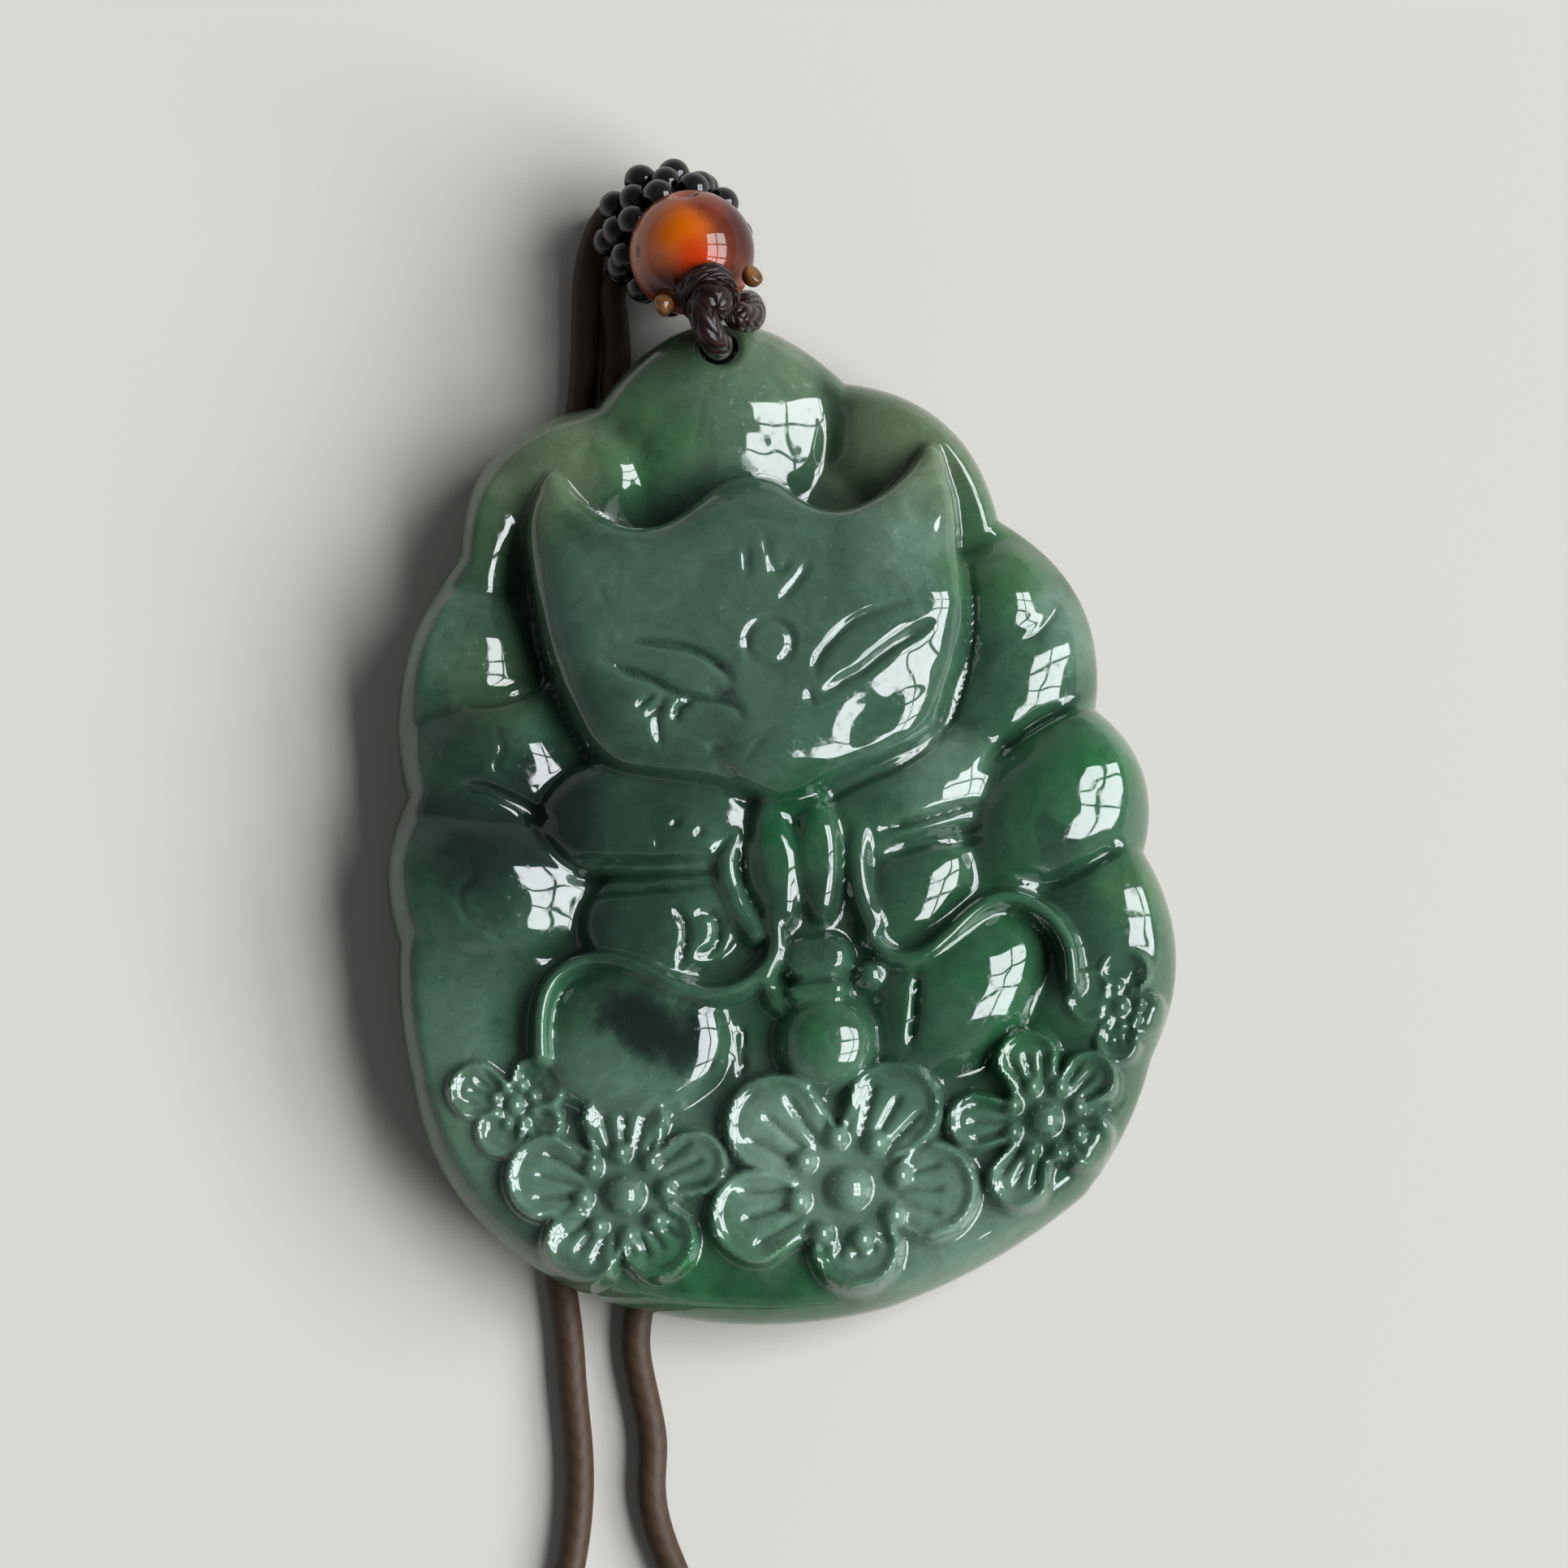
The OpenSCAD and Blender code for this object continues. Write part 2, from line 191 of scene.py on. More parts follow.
necklaceRoute = [
    (-11.2, -208, 1.9), (-26, -206, 0.9),
    *onTable((-52, -192), (-74, -158), (-72, -116), (-48, -79), (-20, -50), (-13.5, -33.8), (-12.6, -24.7),
             (-12.8, -18), (-13.2, -8), (-12, 4), (-9.8, 14), (-7.9, 20.5), (-7.2, 24), (-6.95, 26),
             (-6.7, 27.9)),
    (-6.2, 29.6, 0.8), (-5.4, 30.9, 1.1), (-4.3, 31.2, 1.7), (-3.3, 30.7, 2.6), (-2.8, 29.8, 3.1),
    (-3.0, 28.9, 2.8), (-3.7, 28.5, 1.9), (-4.5, 28.35, 1.05), (-5.25, 27.85, 0.76),
    *onTable((-5.57, 27.05), (-5.54, 25.9), (-5.6, 24), (-5.85, 21.5), (-4.4, 16), (1, 7), (6, -1), (7, -9),
             (2, -16), (-4, -18.5), (-8, -20.5), (-9.4, -23.5), (-9.1, -28), (-8.8, -34.3), (-2, -50),
             (28, -79), (52, -116), (54, -158), (32, -192)),
    (8, -206, 0.9), (-4.8, -208, 1.9),
]
loopRoute = [
    knotAt + (knotLength / 2 + 0.2) * knotAxis - 0.55 * knotX,
    (-1.15, 23.2, 10.25), (-0.9, 22.4, 9.9), (-0.65, 22.15, 8.95), (-0.6, 22.35, 7.8), (-0.6, 22.8, 6.6),
    (-0.6, 22.8, 4.6), (-0.6, 22.8, 2.2), (-0.55, 22.95, 1.3), (-0.4, 23.4, 0.8), (0, 24.1, 0.76),
    (0.6, 24.9, 1.2), (0.95, 25.2, 2.4), (0.97, 25.17, 3.9), (1.08, 24.78, 5.1), (1.15, 24.2, 6.1),
    (0.98, 23.72, 6.95), knotAt + 1.9 * (0.574 * knotX + 0.819 * unit([0, 0, -1] + knotAxis[2] * knotAxis)),
]
threadRoute = [
    (-4.05, 29.7, 2.7), (-3.95, 29.85, 3.6), (-3.0, 30.0, 4.4), (-2.35, 29.9, 4.45),
    agateAt - 3.15 * knotAxis, agateAt - 2.2 * knotAxis, agateAt, agateAt + 2.7 * knotAxis,
]

necklaceCord = addCord("necklace_strand", necklaceRoute, necklace)
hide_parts("necklace_cord")
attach(necklaceCord, "root")
loopCord = addCord("braided_loop", loopRoute, hangingLoop)
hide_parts("hanging_loop")
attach(loopCord, "root")
innerThread = addCord("inner_thread", threadRoute, beadThread)
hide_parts("bead_thread")
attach(innerThread, "root")
print("cords laid")

# the carved plate, in mm above its back, which lies "back" above the table
jade = {
    # the width of the rim's pale band of painted light, and the width and depth that set the painted shade in
    # hollows, are given here too
    "back": 1.5, "ground": 2.9, "rimHeight": 1.4, "rimWidth": 1.35, "rimBand": 2.6, "rimShade": 1.1,
    "hollowWidth": 1.0, "hollowDepth": 0.9, "cellsX": 262, "cellsY": 336,
    "holeAt": (-0.6, 22.8), "holeRadius": 0.95, "holeDish": 0.35, "holeDishRadius": 1.45,
    # the wall and the back, ring by ring: share of the outline, and height
    "wall": [(1.0, 1.1), (0.998, 0.75), (0.992, 0.4), (0.98, 0.13), (0.962, 0.0), (0.8, 0.0), (0.5, 0.0)],
}
# how far the carving's forms run into each other, and how much all is rounded and polished
blend = {"tails": 0.3, "body": 0.35, "bands": 0.12, "mask": 0.12, "blossoms": 0.1,
         "rounded": 0.11, "polished": 0.07}
# the mask: its step and swell, the ground that falls away beside it, and the ring on the forehead
mask = {
    "at": 6.0, "surface": 7.0, "foot": 4.75, "step": 1.15, "stepWidth": 0.42, "swell": 1.6, "swellWidth": 1.7,
    "edge": 0.3, "fall": 0.004, "fallAt": 8, "fallTall": 0.7,
    "beside": 0.28, "besideWidth": 0.22, "besideLow": -1, "besideTall": 4, "besideLeast": 0.2,
    "ringAt": (948, 793, 7.1), "ringRadius": 1.08, "ringWidth": 0.17, "ringDepth": 0.24,
}
# the slight unevenness of a surface polished by hand: width and height
unevenness = [(0.28, 0.007), (0.45, 0.016), (1.1, 0.045)]
# engraved lines fade at their ends and towards the plate's outline
groove = {"endDepth": 0.3, "endSlope": 4, "fromRim": 0.9, "rimFade": 1.3}
# a blossom's petals, with rays at these degrees from a petal's middle, and its stamens
flowerLook = {
    "root": 0.45, "spread": 0.55, "edge": 0.93, "edgeFall": 4.0,
    "dish": 0.32, "dishEdge": 0.9, "dishFade": 0.5,
    "rays": (-30, -15, 0, 15, 30), "rayDepth": 0.34, "rayWidth": 0.15, "rayBeyond": 0.35, "rayFade": 0.4,
    "stamens": 8, "core": 0.5, "coreBeyond": 0.4, "coreFade": 0.3, "beadFoot": 0.6, "beadRise": 0.4,
    "beadFull": 1.1, "middleFull": 0.85, "reach": 8,
}
# the outline, clockwise: where each scallop starts, and how far it bulges
outlineRows = [
    (-6.7, 21.0, 3.6), (5.3, 20.9, 1.75), (11.9, 13.4, 1.75), (15.5, 3.75, 1.2),
    (17.0, -3.3, 1.35), (16.3, -13.0, 0.4), (12.4, -19.2, 0.5), (2.6, -23.5, 0.7),
    (-8.6, -22.5, 0.65), (-15.8, -17.9, 0.65), (-18.7, -10.5, 0.25), (-18.75, -4.0, 0.75),
    (-17.7, 3.0, 1.45), (-14.1, 14.3, 2.15),
]
# the carving's tables that give picture pixels are placed through the camera, 26 pixels a millimetre
# tails: pixel x, y of the crest, radius of curvature along and across in mm, turn, height
tails = [
    (852, 505, 9.7, 8.5, 0, 5.25),      # top lobe
    (700, 583, 8.0, 4.2, 25, 4.9), (606, 640, 2.8, 8.0, -22, 4.5),
    (1142, 545, 12.0, 4.6, -43, 4.65),
    (1228, 738, 2.6, 2.8, 0, 5.15), (1232, 832, 8.0, 3.6, 48, 4.95), (745, 577, 2.4, 2.4, 0, 5.0),
    (1302, 978, 7.0, 3.4, 42, 5.9), (1362, 1118, 4.2, 6.5, 8, 4.9), (1345, 1235, 6.0, 7.0, 0, 4.4),
    (558, 800, 6.0, 4.0, 0, 5.0), (612, 930, 7.0, 5.0, 40, 5.2),
    (590, 1084, 6.6, 4.6, -8, 5.6), (560, 1232, 15.0, 9.0, 0, 4.5), (570, 1390, 15.0, 12.0, 0, 4.1),
]
# body: x, y, half width, half height, turn, foot, top, fullness (2 is an ellipse), in mm
swellings = [
    (0.8, -5.5, 12.5, 9.0, 0, 2.6, 4.4, 3), (-6.1, 0.5, 5.4, 3.2, -6, 4.2, 5.7, 3.2),
    (5.4, 0.0, 6.5, 3.7, 20, 2.6, 5.8, 2.0), (-5.9, -4.4, 3.9, 2.8, 0, 4.2, 5.3, 3),
    (5.6, -4.4, 4.6, 3.0, 42, 2.4, 5.6, 2.0), (0.7, -3.0, 3.6, 4.6, 0, 3.4, 5.0, 4),
    (0.6, 0.3, 1.5, 1.2, 0, 4.6, 6.0, 2),
    (-7.9, -9.9, 4.4, 3.7, 0, 4.2, 5.5, 2.4), (7.2, -9.1, 6.0, 4.0, 36, 2.1, 5.7, 2.0),
    (-0.4, -2.3, 1.2, 3.3, 3, 5.0, 6.2, 3.2), (1.55, -2.3, 1.2, 3.3, -3, 5.0, 6.2, 3.2),
    (1.05, -11.0, 2.35, 2.35, 0, 4.4, 6.3, 2.2), (-1.1, -8.7, 0.75, 1.1, 25, 4.0, 5.3, 2),
    (3.4, -8.1, 0.85, 0.85, 0, 4.0, 5.3, 2), (-1.0, -17.2, 17.5, 7.0, -4, 2.4, 4.15, 3),
]
# the mask's outline in picture pixels, from the left ear's tip
faceOutline = [
    (680, 562), (697, 600), (716, 621), (742, 638), (769, 650), (800, 653), (827, 645), (850, 629),
    (869, 610), (888, 595), (911, 586), (934, 585), (957, 592), (976, 608), (995, 623), (1022, 631),
    (1049, 629), (1072, 617), (1095, 602), (1114, 583), (1130, 562), (1149, 530), (1162, 575),
    (1171, 605), (1175, 640), (1176, 668), (1183, 700), (1187, 735), (1185, 775), (1176, 820),
    (1164, 856), (1150, 890), (1129, 910), (1098, 924), (1060, 942), (1026, 958), (995, 977),
    (972, 988), (950, 985), (925, 973), (888, 962), (834, 955), (785, 950), (746, 937), (719, 904),
    (697, 858), (677, 809), (666, 767), (661, 735), (655, 700), (650, 662), (652, 625), (662, 598),
]
# low swells and hollows of the face: pixel x, y, half sizes in mm, turn, height
faceSwells = [
    (942, 922, 2.3, 1.7, 0, 0.45), (925, 835, 1.1, 2.6, 0, 0.12), (1082, 872, 2.6, 1.1, 38, -0.4),
    (826, 905, 2.6, 1.1, -14, -0.28), (1062, 800, 2.2, 1.0, 35, 0.16), (838, 828, 2.4, 0.9, -14, 0.12),
    (700, 640, 1.0, 1.7, 30, -0.3), (1135, 625, 0.9, 1.7, -20, -0.25), (920, 640, 2.8, 1.4, 0, 0.15),
    (1176, 830, 2.1, 3.6, 14, -0.75), (1172, 660, 1.7, 1.8, 4, -0.4), (1168, 742, 1.8, 1.3, 0, 0.42),
]
# bands: path, half width, top, in mm
leftRibbon = [(-1.5, -7.4), (-2.5, -8.1), (-4.1, -8.3), (-5.8, -7.7), (-7.5, -6.6),
              (-9.0, -6.1), (-10.3, -6.2), (-11.5, -7.0), (-12.1, -8.4), (-12.3, -10.4)]
rightRibbon = [(3.6, -6.4), (4.4, -7.4), (5.7, -7.6), (7.0, -6.9),
               (8.6, -5.7), (9.9, -5.2), (11.2, -5.6), (12.3, -6.6), (12.8, -7.9), (12.8, -9.6)]
bands = [
    (leftRibbon, 0.42, 5.7), (rightRibbon, 0.42, 5.8),
    ([(-2.35, -1.0), (-2.75, -2.3), (-2.5, -4.0), (-1.75, -5.6)], 0.62, 5.5),
    ([(-1.4, -1.6), (-1.45, -3.0), (-0.85, -4.8), (-0.8, -6.4), (-1.5, -7.8)], 0.5, 5.75),
    ([(3.7, -1.3), (3.35, -2.8), (3.4, -4.4), (3.8, -5.8)], 0.62, 5.75),
    ([(0.5, -7.1), (1.5, -7.1)], 1.1, 5.8), ([(-0.1, -8.7), (1.8, -8.7)], 0.5, 6.0),
]
# engraved lines: path in picture pixels, half width and depth in mm, height of the ground
engraved = [
    # brows, eyes and lashes
    ([(767, 787), (804, 792), (842, 798), (869, 809), (888, 824), (901, 839)], 0.17, 0.55, 7.0),
    ([(744, 813), (765, 824), (796, 834), (823, 848), (857, 859), (884, 862), (905, 871), (914, 881)],
     0.17, 0.6, 7.0),
    ([(872, 851), (901, 856)], 0.14, 0.4, 7.0),
    ([(786, 871), (804, 857)], 0.13, 0.32, 7.0), ([(798, 883), (812, 869)], 0.13, 0.32, 7.0),
    ([(819, 860), (809, 890), (815, 917)], 0.14, 0.3, 7.0),
    ([(832, 886), (838, 872), (852, 865)], 0.16, 0.45, 7.0),
    ([(1005, 832), (1009, 812), (1026, 790), (1049, 768), (1079, 754), (1118, 744)], 0.2, 0.32, 7.0),
    ([(1012, 859), (1037, 841), (1060, 828), (1079, 812), (1102, 794), (1121, 782), (1144, 769)],
     0.24, 0.4, 7.0),
    ([(996, 862), (1003, 860)], 0.35, 0.35, 7.0),
    # forehead strokes, nose and mouth
    ([(920, 674), (922, 712)], 0.15, 0.2, 7.0), ([(941, 661), (951, 694), (957, 715)], 0.13, 0.14, 7.0),
    ([(953, 704), (962, 705), (972, 694)], 0.14, 0.2, 7.0),
    ([(997, 696), (981, 720), (962, 742)], 0.16, 0.24, 7.0),
    ([(872, 921), (895, 921)], 0.2, 0.3, 7.2), ([(943, 910), (934, 918), (920, 936)], 0.12, 0.15, 7.2),
    ([(880, 944), (909, 957)], 0.2, 0.2, 6.4), ([(739, 722), (742, 736), (748, 742)], 0.12, 0.1, 7.0),
    # ledges and creases of the tails
    ([(560, 858), (585, 865), (613, 864), (641, 854), (664, 839), (662, 812), (655, 790), (648, 760)],
     0.2, 0.26, 4.6),
    ([(613, 901), (620, 925), (611, 948), (636, 962)], 0.16, 0.14, 4.8),
    ([(560, 972), (590, 972), (618, 981), (651, 997), (680, 1020)], 0.3, 0.42, 4.4),
    ([(580, 1058), (583, 1080), (568, 1096), (568, 1118), (582, 1136), (604, 1146), (632, 1166)],
     0.14, 0.14, 5.2),
    ([(1306, 741), (1294, 760), (1279, 778), (1260, 790)], 0.14, 0.2, 4.8),
    ([(1355, 876), (1328, 868), (1292, 878), (1258, 900), (1232, 922), (1213, 945)], 0.26, 0.45, 4.6),
    ([(1412, 1042), (1372, 1048), (1330, 1072), (1292, 1085), (1252, 1076)], 0.28, 0.4, 4.6),
    ([(560, 1180), (600, 1178), (644, 1172)], 0.4, 0.15, 4.2),
    ([(728, 500), (746, 518), (772, 538), (806, 562)], 0.6, 0.25, 4.2),
    ([(1045, 470), (1030, 505), (1022, 540), (1008, 580)], 0.5, 0.3, 4.0),
    ([(866, 494), (862, 520), (856, 555)], 0.15, 0.08, 5.0),
    # beside the mask's right edge, and under the chin
    ([(1194, 690), (1200, 740), (1198, 790), (1188, 840), (1174, 880), (1158, 906)], 0.14, 0.3, 5.0),
    ([(1008, 992), (1048, 968), (1104, 944), (1152, 914)], 0.15, 0.35, 5.6),
    # cuffs
    ([(706, 1057), (780, 1060), (870, 1056)], 0.18, 0.5, 5.4),
    ([(706, 1077), (780, 1077), (872, 1073)], 0.18, 0.5, 5.4),
    ([(722, 1100), (800, 1096), (874, 1090)], 0.18, 0.4, 5.2),
    ([(1087, 1021), (1140, 1006), (1207, 985)], 0.18, 0.5, 5.6),
    ([(1095, 1040), (1150, 1026), (1203, 1014)], 0.18, 0.5, 5.6),
    ([(1094, 1050), (1150, 1038), (1206, 1032)], 0.18, 0.4, 5.4),
    # small nicks on the left sleeve
    ([(829, 1018), (837, 1008)], 0.14, 0.2, 5.7), ([(859, 1028), (867, 1019)], 0.14, 0.2, 5.7),
    ([(808, 1031), (813, 1046)], 0.12, 0.15, 5.7), ([(880, 1052), (902, 1028)], 0.16, 0.25, 5.6),
    # the paw's curl and the folds beside the drops
    ([(858, 1128), (875, 1124), (886, 1140), (880, 1166), (862, 1176)], 0.2, 0.45, 5.2),
    ([(832, 1118), (846, 1144), (838, 1188)], 0.16, 0.35, 5.2),
    ([(913, 1262), (916, 1300), (912, 1330)], 0.16, 0.35, 4.4),
    ([(1130, 1200), (1127, 1250), (1122, 1290)], 0.18, 0.45, 4.8),
]
# plum blossoms: centre, ring of stamens (radius, bead radius, first angle), centre bead, top, petals x y r
blossoms = [
    ((1.35, -18.0), 2.45, 0.6, 8, 1.05, 5.15,
     [(3.8, -14.5, 2.35), (5.05, -18.4, 2.35), (1.4, -20.65, 2.15), (-3.0, -18.8, 2.3), (-1.7, -14.7, 2.5)]),
    ((10.8, -15.75), 1.65, 0.45, 15, 0.8, 5.0,
     [(10.3, -12.95, 1.55), (13.1, -14.0, 1.3), (12.6, -16.85, 1.35), (9.3, -18.35, 1.45),
      (7.6, -15.5, 1.4)]),
    ((-9.1, -17.15), 1.95, 0.5, 0, 0.95, 4.85,
     [(-8.75, -13.85, 2.05), (-5.7, -16.05, 1.6), (-7.75, -19.45, 1.85), (-11.2, -19.3, 1.9),
      (-12.5, -16.0, 2.1)]),
    ((-13.8, -12.4), 0.95, 0.3, 20, 0.5, 4.5,
     [(-12.7, -11.6, 1.45), (-15.5, -11.6, 1.4), (-14.6, -13.6, 1.2), (-12.6, -13.4, 1.0)]),
    ((14.9, -10.8), 0.95, 0.28, 0, 0.45, 4.6,
     [(13.6, -10.2, 1.3), (15.3, -9.2, 1.25), (16.0, -11.2, 1.1), (14.6, -12.4, 1.1)]),
]


def outlineRadius(angle):
    # distance from the origin to the plate's outline, at each angle
    points = []
    for i, (x, y, bulge) in enumerate(outlineRows):
        a = np.array([x, y])
        b = np.array(outlineRows[(i + 1) % len(outlineRows)][:2])
        out = unit([a[1] - b[1], b[0] - a[0]])
        for t in np.linspace(0, 1, 60, endpoint=False):
            points.append(a + (b - a) * t + out * bulge * 4 * t * (1 - t))
    points = np.array(points)
    where = np.arctan2(points[:, 1], points[:, 0])
    order = np.argsort(where)
    return np.interp(angle, where[order], np.hypot(points[:, 0], points[:, 1])[order], period=2 * np.pi)


def blendUp(a, b, k):
    # the higher of two heights, with the crease between them filled over k
    return np.maximum(a, b) + np.maximum(k - np.abs(a - b), 0) ** 2 / (4 * k)


def dome(q, foot, top, fullness=2.0):
    inside = foot + (top - foot) * np.sqrt(np.maximum(1 - np.minimum(q, 1) ** fullness, 0))
    return np.where(q < 1, inside, foot - 5 * (q - 1))


def toPath(x, y, path):
    # distance to a path, and how far along it, from 0 to 1
    path = np.array(path, float)
    lengths = np.r_[0, np.cumsum(np.linalg.norm(np.diff(path, axis=0), axis=1))]
    nearest = np.full(x.shape, 1e9)
    share = np.zeros(x.shape)
    for i in range(len(path) - 1):
        a, d = path[i], path[i + 1] - path[i]
        t = np.clip(((x - a[0]) * d[0] + (y - a[1]) * d[1]) / np.dot(d, d), 0, 1)
        away = np.hypot(x - a[0] - t * d[0], y - a[1] - t * d[1])
        closer = away < nearest
        nearest = np.where(closer, away, nearest)
        share = np.where(closer, (lengths[i] + t * (lengths[i + 1] - lengths[i])) / lengths[-1], share)
    return nearest, share


def curved(path, step=0.3):
    return smoothRoute([(a, b, 0) for a, b in path], step)[:, :2]


def insideRows(x, y, rows):
    inside = np.zeros(x.shape, bool)
    for i, a in enumerate(rows):
        b = rows[(i + 1) % len(rows)]
        if a[1] == b[1]:
            continue
        crosses = (a[1] > y) != (b[1] > y)
        inside ^= crosses & (x < (b[0] - a[0]) * (y - a[1]) / (b[1] - a[1]) + a[0])
    return inside


def addBlossom(height, x, y, blossom):
    (cx, cy), ringRadius, beadRadius, firstAngle, centreRadius, top, petals = blossom
    fromCentre = np.hypot(x - cx, y - cy)
    near = fromCentre < flowerLook["reach"]
    angle = np.arctan2(y - cy, x - cx)
    flower = np.full(x.shape, 0.0)
    foot, beadTop = top - flowerLook["beadFoot"], top - flowerLook["beadRise"]
    for px, py, pr in petals:
        # a thin raised rim round a shallow dish, with fine rays
        dx, dy = px - cx, py - cy
        t = np.clip(((x - cx) * dx + (y - cy) * dy) / (dx * dx + dy * dy), 0, 1)
        width = pr * (flowerLook["root"] + flowerLook["spread"] * t)
        q = np.hypot(x - cx - t * dx, y - cy - t * dy) / width
        dish = np.clip((flowerLook["dishEdge"] - q) / (flowerLook["dishFade"] / pr), 0, 1)
        petal = top - flowerLook["dish"] * dish * dish * (3 - 2 * dish) \
            - flowerLook["edgeFall"] * np.maximum(q - flowerLook["edge"], 0) * pr
        rayEnd = np.hypot(dx, dy) + flowerLook["rayBeyond"] * pr
        fade = np.clip((rayEnd - fromCentre) / flowerLook["rayFade"], 0, 1)
        for turn in flowerLook["rays"]:
            towards = math.atan2(dy, dx) + math.radians(turn)
            off = np.abs(np.sin(angle - towards)) * fromCentre
            ray = (np.cos(angle - towards) > 0) & (fromCentre > ringRadius)
            petal = petal - ray * fade * flowerLook["rayDepth"] * np.exp(-(off / flowerLook["rayWidth"]) ** 2)
        flower = np.maximum(flower, petal)
    # a level middle that the stamens' beads stand on
    coreEnd = ringRadius + flowerLook["coreBeyond"] * beadRadius
    core = np.clip((coreEnd - fromCentre) / flowerLook["coreFade"], 0, 1)
    flower = flower * (1 - core) + (top - flowerLook["core"]) * core
    for i in range(flowerLook["stamens"]):
        turn = math.radians(firstAngle + 360 / flowerLook["stamens"] * i)
        bx, by = cx + ringRadius * math.cos(turn), cy + ringRadius * math.sin(turn)
        q = np.hypot(x - bx, y - by) / beadRadius
        flower = np.maximum(flower, dome(q, foot, beadTop + flowerLook["beadFull"] * beadRadius))
    middleTop = beadTop + flowerLook["middleFull"] * centreRadius
    flower = np.maximum(flower, dome(fromCentre / centreRadius, foot, middleTop))
    return np.where(near, blendUp(height, flower, blend["blossoms"]), height)


def onPlate(px, py, height):
    # the place, this far above the plate's back, that shows at a pixel of the picture
    size, middle = view["frameWidth"] / view["pixels"], view["pixels"] / 2
    start = np.array(view["target"]) + np.array(viewBack) * view["distance"]
    ray = np.array(imageRight) * (px - middle) * size + np.array(imageUp) * (middle - py) * size \
        - np.array(viewBack) * view["distance"]
    return (start + ray * (jade["back"] + height - start[2]) / ray[2])[:2]


sheet = {"left": -21.0, "right": 20.5, "low": -27.0, "high": 28.0, "step": 0.07}
sheetX, sheetY = np.meshgrid(np.arange(sheet["left"], sheet["right"], sheet["step"]),
                             np.arange(sheet["low"], sheet["high"], sheet["step"]))


def around(points, margin):
    # the part of the sheet within a margin of some places
    points = np.asarray(points, float).reshape(-1, 2)
    low, high = points.min(0) - margin, points.max(0) + margin
    across = [int((v - sheet["left"]) / sheet["step"]) for v in (low[0], high[0])]
    down = [int((v - sheet["low"]) / sheet["step"]) for v in (low[1], high[1])]
    return slice(max(down[0], 0), max(down[1], 1)), slice(max(across[0], 0), max(across[1], 1))


def soften(values, width):
    # blurs a sheet with a bell curve this many millimetres wide
    reach = int(3 * width / sheet["step"]) + 1
    offsets = np.arange(-reach, reach + 1)
    weights = np.exp(-0.5 * (offsets * sheet["step"] / width) ** 2)
    weights /= weights.sum()
    # down the sheet, then turned and across it
    for way in ("down", "across"):
        padded = np.pad(values, ((reach, reach), (0, 0)), mode="edge")
        total = np.zeros(values.shape)
        for k, weight in enumerate(weights):
            total += weight * padded[k:k + len(total)]
        values = total.T
    return values


def turned(x, y, cx, cy, turn):
    c, s = math.cos(math.radians(turn)), math.sin(math.radians(turn))
    return (x - cx) * c + (y - cy) * s, (y - cy) * c - (x - cx) * s


def carveTails():
    height = np.full(sheetX.shape, jade["ground"])
    for px, py, along, across, turn, top in tails:
        cx, cy = onPlate(px, py, top)
        a, b = turned(sheetX, sheetY, cx, cy, turn - view["roll"])
        height = blendUp(height, top - a ** 2 / (2 * along) - b ** 2 / (2 * across), blend["tails"])
    return height


def carveBody(height):
    for cx, cy, rx, ry, turn, foot, top, fullness in swellings:
        a, b = turned(sheetX, sheetY, cx, cy, turn)
        height = blendUp(height, dome(np.hypot(a / rx, b / ry), foot, top, fullness), blend["body"])
    for path, half, top in bands:
        spot = around(path, 2.5)
        away = toPath(sheetX[spot], sheetY[spot], curved(path))[0]
        height[spot] = blendUp(height[spot], dome(away / half, top - 0.8, top, 3), blend["bands"])
    return soften(height, blend["rounded"])


def carveFace(height):
    # a crisp low step at the mask's outline, and a broad swell inside it
    outline = [onPlate(px, py, mask["at"]) for px, py in faceOutline]
    outline = curved(outline + [outline[0]], 0.5)
    inside = insideRows(sheetX, sheetY, [tuple(p) for p in outline]).astype(float)
    near, wide = soften(inside, mask["stepWidth"]), soften(inside, mask["swellWidth"])
    step, swell = [np.clip((share - mask["edge"]) / (1 - mask["edge"]), 0, 1) for share in (near, wide)]
    face = mask["foot"] + mask["step"] * np.sqrt(1 - (1 - step) ** 2) \
        + mask["swell"] * np.sin(swell * np.pi / 2) \
        - mask["fall"] * (sheetX ** 2 + mask["fallTall"] * (sheetY - mask["fallAt"]) ** 2)
    for px, py, across, tall, turn, rise in faceSwells:
        cx, cy = onPlate(px, py, mask["surface"])
        a, b = turned(sheetX, sheetY, cx, cy, turn - view["roll"])
        face += rise * np.exp(-(a / across) ** 2 - (b / tall) ** 2)
    # the ground falls away softly beside the mask, and less under the chin
    beside = np.exp(-((wide - mask["edge"]) / mask["besideWidth"]) ** 2)
    upper = np.clip((sheetY - mask["besideLow"]) / mask["besideTall"], mask["besideLeast"], 1)
    height = height - mask["beside"] * (beside * upper)
    return blendUp(height, np.where(near > mask["edge"], face, 0), blend["mask"])


def engrave(height):
    inward = outlineRadius(np.arctan2(sheetY, sheetX)) - np.hypot(sheetX, sheetY)
    nearRim = np.clip((inward - groove["fromRim"]) / groove["rimFade"], 0, 1)
    for path, half, depth, ground in engraved:
        path = [onPlate(px, py, ground) for px, py in path]
        spot = around(path, 1.5)
        away, share = toPath(sheetX[spot], sheetY[spot], curved(path))
        start, end = [np.clip(groove["endSlope"] * t + groove["endDepth"], 0, 1) for t in (share, 1 - share)]
        height[spot] = height[spot] - depth * np.exp(-(away / half) ** 2) * (start * end) * nearRim[spot]
    mx, my = onPlate(*mask["ringAt"])
    ring = np.abs(np.hypot(sheetX - mx, sheetY - my) - mask["ringRadius"])
    return height - mask["ringDepth"] * np.exp(-(ring / mask["ringWidth"]) ** 2)


